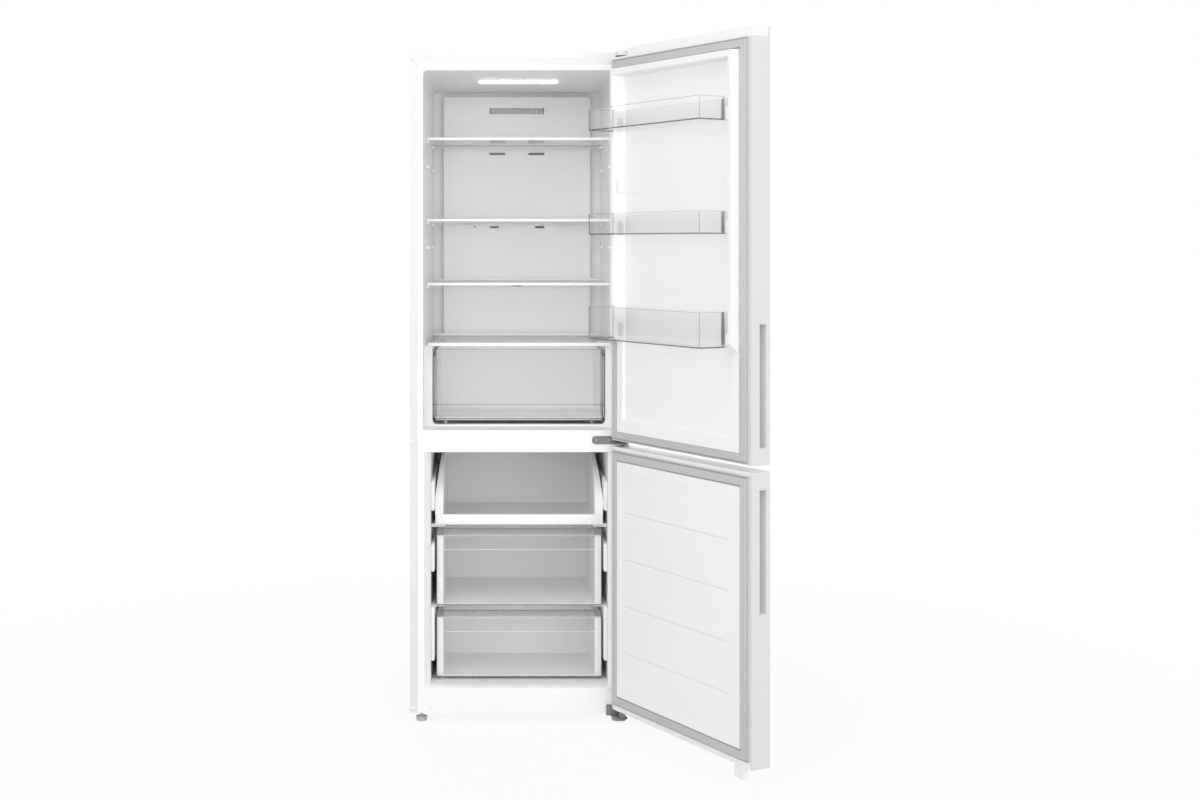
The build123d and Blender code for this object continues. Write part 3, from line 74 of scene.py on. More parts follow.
NODES = frame["nodes"]
SLOTS = {row["node"]: row["material_slot"] for row in frame["record"]["subparts"]}
MM = 0.001

# Places on the frame that several pieces share, in metres.
PIN = Vector((0.2775, -0.0315, 0.0))
SLAB_FACE = -0.012  # depth of a shut door's inner face
PANEL_RISE = 0.010  # how far the freezer door's panel stands out from that face
BACK_FACE = 0.563  # depth of the rear panel's outer face
FOOT_X, FOOT_Y = 0.2665, 0.018
ROLLER_X, ROLLER_Y, ROLLER_Z = 0.238, 0.53, 0.017
COMPRESSOR_X, COMPRESSOR_Y = 0.095, 0.475
BASKET_LIP_TOP = 0.5533
BASKET_SWEEP_END = 0.26  # depth where the basket's side reaches its full height
OPEN_ANGLE = math.radians(120)
SWING = Matrix.Translation(PIN) @ Matrix.Rotation(OPEN_ANGLE, 4, "Z") @ Matrix.Translation(-PIN)


# ---- Finishes ------------------------------------------------------------------------------------
class Shade:
    """A socket that takes part in sums, so that 1 - mask works: each operator adds a Math node."""

    def __init__(self, shading, socket):
        self.shading = shading
        self.socket = socket

    def maths(self, operation, first, second):
        return self.shading.add("ShaderNodeMath", {"operation": operation}, {0: first, 1: second})

    def __add__(self, other):
        return self.maths("ADD", self, other)

    def __radd__(self, other):
        return self.maths("ADD", other, self)

    def __sub__(self, other):
        return self.maths("SUBTRACT", self, other)

    def __rsub__(self, other):
        return self.maths("SUBTRACT", other, self)

    def __mul__(self, other):
        return self.maths("MULTIPLY", self, other)

    def __rmul__(self, other):
        return self.maths("MULTIPLY", other, self)

    def __pow__(self, other):
        return self.maths("POWER", self, other)

    def __gt__(self, other):
        return self.maths("GREATER_THAN", self, other)


class Shading:
    """The shader nodes of a finish or of the surroundings."""

    def __init__(self, tree):
        self.tree = tree

    def find(self, kind):
        return next(node for node in self.tree.nodes if node.type == kind)

    def add(self, kind, settings, inputs, output=0):
        """Adds a node: its settings first, then a value or a link for each of its sockets."""
        node = self.tree.nodes.new(kind)
        for key, value in settings.items():
            setattr(node, key, value)
        for key, value in inputs.items():
            self.plug(value, node.inputs[key])
        return Shade(self, node.outputs[output])

    def plug(self, value, socket):
        if isinstance(value, Shade):
            self.tree.links.new(value.socket, socket)
        else:
            socket.default_value = value


class Finish(Shading):
    """A procedural material: one shader and the nodes that vary it over the surface."""

    def __init__(self, name, **constants):
        self.name = name
        self.material = bpy.data.materials.new(name)
        self.material.use_nodes = True
        super().__init__(self.material.node_tree)
        self.shader = self.find("BSDF_PRINCIPLED")
        for key, value in constants.items():
            self.shader.inputs[key.replace("_", " ")].default_value = value
        self.place = self.add("ShaderNodeTexCoord", {}, {}, "Object")

    def noise(self, scale, detail=2.0, stretch=(1, 1, 1)):
        """Cloudy noise from 0 to 1, with this many waves to the metre."""
        spot = self.add("ShaderNodeMapping", {}, {"Vector": self.place, "Scale": stretch})
        values = {"Vector": spot, "Scale": scale, "Detail": detail}
        return self.add("ShaderNodeTexNoise", {}, values)

    def cells(self, scale):
        """Distance to the nearest cell centre, for moulded grain and galvanised spangle."""
        return self.add("ShaderNodeTexVoronoi", {}, {"Vector": self.place, "Scale": scale})

    def mix(self, first, second, factor):
        """A colour between two others."""
        settings = {"data_type": "RGBA"}
        return self.add("ShaderNodeMix", settings, {0: factor, 6: first, 7: second}, 2)

    def set(self, key, value):
        self.plug(value, self.shader.inputs[key])
        return self

    def bump(self, height, distance):
        """Fine relief, this many metres deep."""
        values = {"Height": height, "Distance": distance, "Strength": 1.0}
        return self.set("Normal", self.add("ShaderNodeBump", {}, values))


def shaded(colour, level):
    """The same colour, darker or lighter by a factor, with full opacity."""
    return tuple(min(1.0, channel * level) for channel in colour[:3]) + (1.0,)


def painted(name, colour, gloss, relief, **constants):
    """Powder coat or moulded plastic: a faint cloudiness in colour and gloss, and a fine peel."""
    finish = Finish(name, **constants)
    clouds = finish.noise(2.5, 3.0)
    finish.set("Base Color", finish.mix(shaded(colour, 0.985), shaded(colour, 1.01), clouds))
    finish.set("Roughness", finish.noise(35.0) * 0.08 + gloss)
    return finish.bump(finish.noise(relief[0]), relief[1])


def grained(name, colour, gloss, scale, depth, **constants):
    """Matt moulding with a leather-like grain, and painted shade that makes it a little darker in its pits.
    """
    finish = Finish(name, **constants)
    grain = finish.cells(scale)
    # The colour follows the grain's depth: painted shade, darker in the pits.
    finish.set("Base Color", finish.mix(shaded(colour, 0.9), shaded(colour, 1.06), grain))
    finish.set("Roughness", grain * 0.15 + gloss)
    return finish.bump(grain, depth)


def clear(name, colour, opacity, gloss, rim):
    """Glass or clear styrene: thin where it is seen straight, denser where it is seen edge on."""
    finish = Finish(name, Specular_IOR_Level=0.4, IOR=1.5)
    facing = finish.add("ShaderNodeLayerWeight", {}, {"Blend": 0.35}, "Facing")
    falloff = 3.0
    tint = finish.mix(shaded(colour, 1.0), shaded(colour, 0.8), facing ** falloff)
    finish.set("Base Color", tint)
    finish.set("Alpha", facing ** falloff * rim + (finish.noise(6.0) * 0.015 + opacity))
    finish.set("Roughness", finish.noise(60.0) * 0.04 + gloss)
    return finish.bump(finish.noise(45.0), 0.00002)


def metal(name, colour, gloss, stretch):
    """Drawn, rolled or plated metal with fine streaks along its length."""
    finish = Finish(name, Metallic=1.0)
    streaks = finish.noise(260.0, 3.0, stretch)
    finish.set("Base Color", finish.mix(shaded(colour, 0.86), shaded(colour, 1.05), streaks))
    finish.set("Roughness", streaks * 0.2 + gloss)
    return finish.bump(streaks, 0.00002)


def galvanised(name, colour):
    """Zinc-coated sheet with its soft spangle."""
    finish = Finish(name, Metallic=0.35)
    spangle = finish.cells(95.0)
    finish.set("Base Color", finish.mix(shaded(colour, 0.92), shaded(colour, 1.04), spangle))
    finish.set("Roughness", spangle * 0.18 + 0.38)
    return finish.bump(finish.noise(420.0), 0.00003)


def glowing(name, colour, strength):
    """The lamp's diffuser: lit at its front, dim where it sits in its recess."""
    finish = Finish(name, Emission_Strength=strength)
    prisms = finish.noise(900.0, 1.0, (0.02, 1, 1))
    finish.set("Base Color", shaded(colour, 1.0))
    depth = finish.add("ShaderNodeSeparateXYZ", {}, {0: finish.place}, "Y")
    lit_depth = 0.010
    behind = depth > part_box("light_bar")[0].y + lit_depth
    lit = finish.mix(shaded(colour, 0.94), shaded(colour, 1.0), prisms)
    finish.set("Emission Color", finish.mix(lit, shaded(colour, 0.1), behind))
    finish.set("Roughness", prisms * 0.2 + 0.3)
    return finish.bump(prisms, 0.0001)


def make_finishes(colours):
    """Every finish of the record's material slots, and the few darker ones that edges need, among them
    groove_shade, a painted shade for the pressed grooves.
    """
    body_peel = (700.0, 0.00003)  # waves to the metre, and their depth
    liner_peel = (380.0, 0.00002)
    made = (
        painted(
            "white_paint", tuple(colours.white), 0.26, body_peel,
            Coat_Weight=0.25, Coat_Roughness=0.15,
        ),
        painted("white_plastic", tuple(colours.liner), 0.34, liner_peel),
        grained("foam", (0.86, 0.8, 0.62), 0.8, 420.0, 0.0002),
        grained("grey_gasket", tuple(colours.gasket), 0.55, 1500.0, 0.00002),
        grained("grip_plastic", tuple(colours.grip), 0.45, 900.0, 0.00005),
        painted("trim_plastic", (0.94, 0.945, 0.95), 0.25, liner_peel),
        clear("clear_glass", (0.88, 0.9, 0.9), 0.07, 0.04, 0.5),
        clear("clear_plastic", (0.95, 0.955, 0.96), colours.clear_opacity, 0.06, 0.3),
        clear("clear_edge", (0.5, 0.505, 0.51), 0.36, 0.1, 0.2),
        # A dark edge finish; on the crisper's front it is also painted shade for the gap under the drawer.
        clear("dark_edge_and_gap_shade", (0.17, 0.175, 0.18), 0.66, 0.1, 0.2),
        painted("frosted_plastic", (0.93, 0.935, 0.94), 0.32, liner_peel),
        glowing("lamp_plastic", (1.0, 1.0, 0.98), colours.lamp_strength),
        grained("hinge_steel", (0.22, 0.22, 0.225), 0.42, 1300.0, 0.00003, Metallic=0.4),
        grained("hinge_cover_plastic", (0.84, 0.845, 0.85), 0.5, 1100.0, 0.00003),
        metal("screw_steel", (0.36, 0.36, 0.37), 0.3, (1, 1, 1)),
        galvanised("grey_steel", (0.6, 0.62, 0.63)),
        painted("black_paint", (0.02, 0.02, 0.022), 0.2, body_peel, Coat_Weight=0.4),
        grained("black_rubber", (0.025, 0.025, 0.025), 0.7, 800.0, 0.00005),
        grained("black_plastic", (0.035, 0.035, 0.037), 0.45, 1000.0, 0.00004),
        metal("copper_tube", (0.72, 0.4, 0.26), 0.28, (1, 1, 1)),
        metal("bare_aluminium", (0.8, 0.8, 0.81), 0.3, (0.05, 1, 1)),
        grained("foot_plastic", (0.5, 0.505, 0.515), 0.5, 1000.0, 0.00004),
        # groove_shade is painted shade, for the downward faces of the freezer door liner's grooves.
        painted("groove_shade", (0.66, 0.665, 0.675), 0.4, liner_peel),
        grained("runner_grey", (0.42, 0.425, 0.43), 0.5, 900.0, 0.00003),
        grained("shadow_gap", (0.16, 0.165, 0.17), 0.7, 900.0, 0.00002),
    )
    return {finish.name: finish for finish in made}


FINISHES = {}


# ---- Meshes --------------------------------------------------------------------------------------
def linked(name, mesh):
    piece = bpy.data.objects.new(name, mesh)
    bpy.context.scene.collection.objects.link(piece)
    return piece


def from_bmesh(name, shape, place=None):
    """Closes a bmesh into an object whose faces point outwards, in its place in the frame."""
    bmesh.ops.remove_doubles(shape, verts=shape.verts, dist=1e-6)
    bmesh.ops.recalc_face_normals(shape, faces=shape.faces)
    if place is not None:
        shape.transform(place)
    mesh = bpy.data.meshes.new(name)
    shape.to_mesh(mesh)
    shape.free()
    return linked(name, mesh)


def in_metres(outline):
    """The same outline, from millimetres."""
    return [(first * MM, second * MM) for first, second in outline]


def smooth(piece, degrees):
    mesh = piece.data
    mesh.polygons.foreach_set("use_smooth", [True] * len(mesh.polygons))
    mesh.set_sharp_from_angle(angle=math.radians(degrees))


def settle(piece, body, finish, replaced=()):
    """Paints a piece, says which body carries it, and hides the nodes it stands for."""
    piece.data.materials.clear()
    piece.data.materials.append(FINISHES[finish].material)
    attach(piece, body)
    if replaced:
        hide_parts(*replaced)
    return piece


def evaluated(piece):
    """Gives a piece the mesh that its modifiers make, and takes the modifiers off."""
    graph = bpy.context.evaluated_depsgraph_get()
    mesh = bpy.data.meshes.new_from_object(piece.evaluated_get(graph))
    piece.modifiers.clear()
    piece.data = mesh
    return piece


def soften(piece, width, degrees=30):
    """Rounds a piece's hard edges, and keeps the shading of its flats flat."""
    piece.data.polygons.foreach_set("use_smooth", [True] * len(piece.data.polygons))
    bevel = piece.modifiers.new("Soft edges", "BEVEL")
    bevel.width = width
    bevel.segments = 2
    bevel.limit_method = "ANGLE"
    bevel.angle_limit = math.radians(degrees)
    bevel.use_clamp_overlap = True
    flats = piece.modifiers.new("Flat faces", "WEIGHTED_NORMAL")
    flats.mode = "FACE_AREA"
    flats.weight = 100
    flats.keep_sharp = False
    return evaluated(piece)


def carved(piece, cutters):
    """Cuts each cutter's shape out of a piece, and removes the cutters."""
    for cutter in cutters:
        cut = piece.modifiers.new("Cut", "BOOLEAN")
        cut.object = cutter
        cut.operation = "DIFFERENCE"
        cut.solver = "EXACT"
    evaluated(piece)
    for cutter in cutters:
        bpy.data.objects.remove(cutter)
    return piece


def merged_copy(node):
    """A copy of a node with its loose triangles joined and its flat faces made whole."""
    shape = bmesh.new()
    shape.from_mesh(NODES[node].data)
    bmesh.ops.remove_doubles(shape, verts=shape.verts, dist=1e-5)
    flat = math.radians(1)
    bmesh.ops.dissolve_limit(shape, angle_limit=flat, verts=shape.verts, edges=shape.edges)
    return from_bmesh(node + "_dressed", shape)


def stands_for(piece, node):
    """Settles a piece in the place of one node, in that node's finish."""
    return settle(piece, NODES[node]["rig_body"], SLOTS[node], replaced=(node,))


def dressed(node, width):
    """A copy of a node, in that node's place, with its edges rounded by a width."""
    return stands_for(soften(merged_copy(node), width), node)


def add_block(shape, x, y, z, radius=0.0):
    """Adds a box between three pairs of limits to a bmesh, its edges rounded."""
    corners = [shape.verts.new((a, b, c)) for c in z for b in y for a in x]
    quads = ((0, 2, 3, 1), (4, 5, 7, 6), (0, 1, 5, 4), (2, 6, 7, 3), (0, 4, 6, 2), (1, 3, 7, 5))
    faces = [shape.faces.new([corners[i] for i in quad]) for quad in quads]
    if radius:
        edges = list({edge for face in faces for edge in face.edges})
        bmesh.ops.bevel(
            shape, geom=edges, offset=radius, segments=2, profile=0.5,
            affect="EDGES", clamp_overlap=True,
        )


def both_sides(inner, outer, y, z):
    """The limits of a box at the left and of its mirror image at the right."""
    return [((-outer, -inner), y, z), ((inner, outer), y, z)]


def blocks(name, limits, radius, place=None):
    """One object of several rounded boxes."""
    shape = bmesh.new()
    for x, y, z in limits:
        add_block(shape, x, y, z, radius)
    piece = from_bmesh(name, shape, place)
    smooth(piece, 40)
    return piece


def add_turned(shape, outline, place, steps):
    """Turns (radius, height) points about an axis; the outline starts and ends on it."""
    rings = []
    for radius, height in outline:
        if radius < 1e-7:
            rings.append([shape.verts.new(place @ Vector((0, 0, height)))])
            continue
        ring = []
        for step in range(steps):
            turn = math.tau * step / steps
            spot = Vector((radius * math.cos(turn), radius * math.sin(turn), height))
            ring.append(shape.verts.new(place @ spot))
        rings.append(ring)
    for low, high in zip(rings, rings[1:]):
        for step in range(steps):
            after = (step + 1) % steps
            corners = [low[step % len(low)], low[after % len(low)]]
            corners += [high[after % len(high)], high[step % len(high)]]
            unique = list(dict.fromkeys(corners))
            if len(unique) > 2:
                shape.faces.new(unique)


def along(axis, centre):
    """A matrix that sets an upright turning on another axis, at a centre."""
    turn = {
        "Z": Matrix.Identity(4),
        "-Z": Matrix.Rotation(math.pi, 4, "X"),
        "Y": Matrix.Rotation(-math.pi / 2, 4, "X"),
        "-Y": Matrix.Rotation(math.pi / 2, 4, "X"),
        "X": Matrix.Rotation(math.pi / 2, 4, "Y"),
    }[axis]
    return Matrix.Translation(Vector(centre)) @ turn


def turned(name, outlines, steps, degrees=35):
    """One object of several turned solids, each an outline and its placing matrix."""
    shape = bmesh.new()
    for outline, place in outlines:
        add_turned(shape, outline, place, steps)
    piece = from_bmesh(name, shape)
    smooth(piece, degrees)
    return piece


def add_skin(shape, rings, capped=True):
    """Joins closed rings of as many vertices into a skin, and closes its ends."""
    for here, there in zip(rings, rings[1:]):
        for point in range(len(here)):
            after = (point + 1) % len(here)
            shape.faces.new((here[point], there[point], there[after], here[after]))
    if capped:
        shape.faces.new(rings[0])
        shape.faces.new(list(reversed(rings[-1])))


def frame_loop(name, half, z, outline, place):
    """Sweeps a closed outline of (inwards, height) points round a rectangle, its corners mitred."""
    shape = bmesh.new()
    rings = []
    for sign_x, sign_z in ((-1, -1), (1, -1), (1, 1), (-1, 1)):
        ring = []
        for inwards, height in outline:
            x = sign_x * (half - inwards)
            level = z[0] + inwards if sign_z < 0 else z[1] - inwards
            ring.append(shape.verts.new((x, SLAB_FACE + height, level)))
        rings.append(ring)
    add_skin(shape, rings + rings[:1], False)
    return from_bmesh(name, shape, place)


def rounded_path(points, radius):
    """An open plan path with its inner corners rounded."""
    steps = 6
    path = [Vector(points[0])]
    for before, corner, after in zip(points, points[1:], points[2:]):
        corner = Vector(corner)
        back = (Vector(before) - corner).normalized() * radius
        forth = (Vector(after) - corner).normalized() * radius
        for step in range(steps + 1):
            share = step / steps
            path.append(corner + back * (1 - share) ** 2 + forth * share ** 2)
    path.append(Vector(points[-1]))
    return path


def add_band(shape, path, z, thickness):
    """Adds an upright strip along a plan path: its outside on the path, its inside to the left."""
    rings = []
    for index, point in enumerate(path):
        ahead = path[min(index + 1, len(path) - 1)] - path[max(index - 1, 0)]
        inward = Vector((-ahead.y, ahead.x)).normalized() * thickness
        inner = point + inward
        spots = ((point, z[0]), (inner, z[0]), (inner, z[1]), (point, z[1]))
        rings.append([shape.verts.new((spot.x, spot.y, level)) for spot, level in spots])
    add_skin(shape, rings)


def pipe(name, points, radius):
    """A tube that bends smoothly past its points."""
    curve = bpy.data.curves.new(name, "CURVE")
    curve.dimensions = "3D"
    curve.bevel_depth = radius
    curve.bevel_resolution = 3
    curve.use_fill_caps = True
    spline = curve.splines.new("NURBS")
    spline.points.add(len(points) - 1)
    for spot, point in zip(spline.points, points):
        spot.co = (*point, 1.0)
    spline.order_u = 3
    spline.use_endpoint_u = True
    line = linked(name + "_line", curve)
    graph = bpy.context.evaluated_depsgraph_get()
    mesh = bpy.data.meshes.new_from_object(line.evaluated_get(graph))
    bpy.data.objects.remove(line)
    shape = bmesh.new()
    shape.from_mesh(mesh)
    piece = from_bmesh(name, shape)
    smooth(piece, 60)
    return piece


# ---- Repeats -------------------------------------------------------------------------------------
def new_tree(name, inputs):
    """A geometry tree with the inputs that every repeat has and its own, each a name and a type."""
    tree = bpy.data.node_groups.new(name, "GeometryNodeTree")
    shared = (("Points", "Geometry"), ("Piece", "Object"), ("Finish", "Material"))
    for label, kind in (*shared, *inputs):
        tree.interface.new_socket(label, in_out="INPUT", socket_type="NodeSocket" + kind)
    tree.interface.new_socket("Mesh", in_out="OUTPUT", socket_type="NodeSocketGeometry")
    return tree


def close_tree(tree, start, spots, spin=None):
    """Puts the piece on every point, makes the copies real and paints them."""
    nodes, links = tree.nodes, tree.links
    info = nodes.new("GeometryNodeObjectInfo")
    links.new(start.outputs["Piece"], info.inputs["Object"])
    place = nodes.new("GeometryNodeInstanceOnPoints")
    links.new(spots, place.inputs["Points"])
    links.new(info.outputs["Geometry"], place.inputs["Instance"])
    copies = place.outputs["Instances"]
    if spin is not None:
        turn = nodes.new("GeometryNodeRotateInstances")
        links.new(copies, turn.inputs["Instances"])
        links.new(spin, turn.inputs["Rotation"])
        copies = turn.outputs["Instances"]
    real = nodes.new("GeometryNodeRealizeInstances")
    links.new(copies, real.inputs[0])
    paint = nodes.new("GeometryNodeSetMaterial")
    links.new(real.outputs[0], paint.inputs["Geometry"])
    links.new(start.outputs["Finish"], paint.inputs["Material"])
    end = nodes.new("NodeGroupOutput")
    links.new(paint.outputs[0], end.inputs[0])
    return tree


def scatter_tree():
    """A piece on every point of a mesh, each turned about one axis by a seeded amount."""
    tree = new_tree("Pieces on points", (("Turn up to", "Vector"), ("Seed", "Int")))
    start = tree.nodes.new("NodeGroupInput")
    chance = tree.nodes.new("FunctionNodeRandomValue")
    chance.data_type = "FLOAT_VECTOR"
    tree.links.new(start.outputs["Turn up to"], chance.inputs["Max"])
    chance.inputs["Min"].default_value = (0, 0, 0)
    tree.links.new(start.outputs["Seed"], chance.inputs["Seed"])
    return close_tree(tree, start, start.outputs["Points"], chance.outputs["Value"])


def row_tree():
    """A straight row of one piece: how many, from where, and the step between them."""
    tree = new_tree("Row of pieces", (("Count", "Int"), ("Start", "Vector"), ("Step", "Vector")))
    start = tree.nodes.new("NodeGroupInput")
    line = tree.nodes.new("GeometryNodeMeshLine")
    line.mode = "OFFSET"
    for label, socket in (("Count", "Count"), ("Start", "Start Location"), ("Step", "Offset")):
        tree.links.new(start.outputs[label], line.inputs[socket])
    return close_tree(tree, start, line.outputs["Mesh"])


TREES = {}


def grown(name, tree, unit, finish, points=(), **values):
    """Runs a geometry tree with its inputs set, and keeps the plain mesh that comes out."""
    mesh = bpy.data.meshes.new(name)
    mesh.from_pydata([tuple(point) for point in points], [], [])
    piece = linked(name, mesh)
    grow = piece.modifiers.new("Repeat", "NODES")
    grow.node_group = TREES[tree]
    values = {"Piece": unit, "Finish": FINISHES[finish].material, **values}
    for item in TREES[tree].interface.items_tree:
        if item.in_out == "INPUT" and item.name in values:
            grow[item.identifier] = values[item.name]
    evaluated(piece)
    bpy.data.objects.remove(unit)
    smooth(piece, 40)
    return piece


def screw_head(radius, height, axis):
    """A pan-head screw with a cross recess, standing on the origin along an axis."""
    shape = bmesh.new()
    outline = (
        (0, -0.0002), (radius, -0.0002), (radius, height * 0.35), (radius * 0.93, height * 0.7),
        (radius * 0.75, height * 0.92), (radius * 0.5, height), (0, height),
    )
    add_turned(shape, outline, Matrix.Identity(4), 20)
    piece = from_bmesh("screw_unit", shape, along(axis, (0, 0, 0)))
    arm = radius * 0.52
    slot = radius * 0.13
    depth = (height * 0.45, height * 1.5)
    cutters = []
    for reach_x, reach_y in ((arm, slot), (slot, arm)):
        cutter = bmesh.new()
        add_block(cutter, (-reach_x, reach_x), (-reach_y, reach_y), depth)
        cutters.append(from_bmesh("cross_unit", cutter, along(axis, (0, 0, 0))))
    return carved(piece, cutters)


def screws(name, spots, axis, sizes, finish="screw_steel", replaced=()):
    """Screw heads at several places on the cabinet, their crosses turned at random."""
    turn = {"Y": (0, 1.5, 0), "-Y": (0, 1.5, 0), "Z": (0, 0, 1.5)}[axis]
    unit = screw_head(sizes.screw_head_radius, sizes.screw_head_height, axis)
    values = {"Turn up to": turn, "Seed": 7}
    piece = grown(name, "scatter", unit, finish, spots, **values)
    return settle(piece, "cabinet", finish, replaced=replaced)


# ---- What a user may change ----------------------------------------------------------------------
def length(name, description, default):
    return bpy.props.FloatProperty(
        name=name, description=description, default=default,
        min=0.0, subtype="DISTANCE", unit="LENGTH",
    )


def colour(name, description, default):
    return bpy.props.FloatVectorProperty(
        name=name, description=description, default=default,
        size=3, min=0.0, max=1.0, subtype="COLOR",
    )


class FridgeSizes(bpy.types.PropertyGroup):
    """Sizes of the details that stand on the frame."""

    sheet_edge: length("Sheet edge", "Rounding of the folded steel's edges", 0.00015)
    liner_edge: length("Liner edge", "Rounding of the vacuum-formed liners' edges", 0.0012)
    moulding_edge: length("Moulding edge", "Rounding of the moulded parts' edges", 0.0008)
    screw_head_radius: length("Screw head radius", "Radius of the pan-head screws", 0.0042)
    screw_head_height: length("Screw head height", "Height of the pan-head screws", 0.0024)
    seam_width: length("Seam width", "Width of the dark seams between sheets", 0.0006)
    bead_width: length("Bead width", "Width of the ribs pressed into the rear panel", 0.016)
    bin_foot: length("Bin foot", "Height of the dense strip along a bin's lower edge", 0.0028)
    panel_depth: length("Panel depth", "How far the freezer door's panel is pressed in", 0.0006)
    knurl_depth: length("Knurl depth", "Depth of the grip teeth of the levelling feet", 0.0007)


class FridgeColours(bpy.types.PropertyGroup):
    """Colours and light of the finishes."""

    white: colour("White", "Powder coat of the cabinet and doors", (0.79, 0.79, 0.795))
    liner: colour("Liner", "Moulded liners and panels", (0.95, 0.952, 0.955))
    gasket: colour("Gasket", "Door seals", (0.57, 0.575, 0.585))
    grip: colour("Grip", "Recessed door grips", (0.78, 0.785, 0.795))
    clear_opacity: bpy.props.FloatProperty(
        name="Clear opacity", description="How much light the clear plastic stops",
        default=0.03, min=0, max=1, subtype="FACTOR",
    )
    lamp_strength: bpy.props.FloatProperty(
        name="Lamp strength", description="Brightness of the light bar", default=9.0, min=0
    )


# ---- Operators: stage ----------------------------------------------------------------------------
WHITE = (1, 1, 1, 1)
WORLD_STRENGTH = 0.47

# Soft round lamps: name, place, the point it is aimed at, width in metres, watts.
LAMPS = (
    ("left_light", (-3.3, -4.0, 2.6), (0.1, 0.2, 0.9), 2.6, 46),
    ("front_light", (-0.6, -5.6, 2.3), (0.1, 0.2, 0.8), 3.4, 40),
    ("right_light", (2.6, -4.9, 1.5), (0.1, 0.2, 0.8), 2.6, 46),
    ("top_light", (-0.2, -2.5, 4.3), (0.0, 0.1, 0.7), 2.6, 42),
    ("back_light", (-0.5, 4.2, 2.4), (0.0, 0.5, 1.0), 3.0, 62),
)


def aimed(light, target):
    light.rotation_euler = (Vector(target) - light.location).to_track_quat("-Z", "Y").to_euler()


class FRIDGE_OT_stage(bpy.types.Operator):
    """Sets the pale floor, the soft lights, the white surroundings and the camera"""

    bl_idname = "fridge.stage"
    bl_label = "Stage"

    def execute(self, context):
        scene = context.scene
        self.camera(scene)
        self.floor()
        self.world(scene)
        for lamp in LAMPS:
            self.light(*lamp)
        scene.view_settings.view_transform = "Standard"
        return {"FINISHED"}

    def camera(self, scene):
        data = bpy.data.cameras.new("camera")
        data.sensor_width = 36.0
        data.lens = 48.34
        data.shift_x = 0.0874
        data.shift_y = -0.1307
        camera = bpy.data.objects.new("camera", data)
        camera.location = (-0.06594, -4.38283, 1.30257)
        camera.rotation_euler = (math.pi / 2, 0, 0)
        scene.collection.objects.link(camera)
        scene.camera = camera

    def light(self, name, spot, target, size, energy):
        data = bpy.data.lights.new(name, "AREA")
        data.shape = "DISK"
        data.size = size
        data.energy = energy
        light = bpy.data.objects.new(name, data)
        light.location = spot
        aimed(light, target)
        bpy.context.scene.collection.objects.link(light)

    def floor(self):
        shape = bmesh.new()
        half = 9
        corners = ((-half, -half), (half, -half), (half, half), (-half, half))
        shape.faces.new([shape.verts.new((x, y, 0)) for x, y in corners])
        floor = from_bmesh("floor", shape)
        finish = Finish("pale_floor", Roughness=0.9)
        finish.set("Base Color", (0.9, 0.9, 0.9, 1))
        seen = seen_directly(finish)
        measure = {"operation": "LENGTH"}
        away = finish.add("ShaderNodeVectorMath", measure, {0: finish.place}, "Value")
        near, far = 0.5, 2.2
        span = {"Value": away, "From Min": near, "From Max": far, "To Min": 0.9, "To Max": 1.0}
        fade = finish.add("ShaderNodeMapRange", {}, span)
        bright = {"Color": WHITE, "Strength": 1.0}
        glow = finish.add("ShaderNodeEmission", {}, bright, "Emission")
        lit = Shade(finish, finish.shader.outputs["BSDF"])
        mixed = finish.add("ShaderNodeMixShader", {}, {0: seen * fade, 1: lit, 2: glow})
        finish.plug(mixed, finish.find("OUTPUT_MATERIAL").inputs["Surface"])
        floor.data.materials.append(finish.material)

    def world(self, scene):
        world = bpy.data.worlds.new("surroundings")
        world.use_nodes = True
        scene.world = world
        sky = Shading(world.node_tree)
        dim = {"Color": WHITE, "Strength": WORLD_STRENGTH}
        lit = sky.add("ShaderNodeBackground", {}, dim)
        white = sky.add("ShaderNodeBackground", {}, {"Color": WHITE, "Strength": 1.0})
        mixed = sky.add("ShaderNodeMixShader", {}, {0: seen_directly(sky), 1: lit, 2: white})
        sky.plug(mixed, sky.find("OUTPUT_WORLD").inputs["Surface"])


def seen_directly(shading):
    """1 for what the camera sees, also in metal or through glass, and 0 for rays that light."""
    sight = shading.add("ShaderNodeLightPath", {}, {}, "Is Camera Ray")
    node = sight.socket.node
    glossy = Shade(shading, node.outputs["Is Glossy Ray"])
    through = Shade(shading, node.outputs["Is Transmission Ray"])
    return (sight + glossy + through) > 0.5


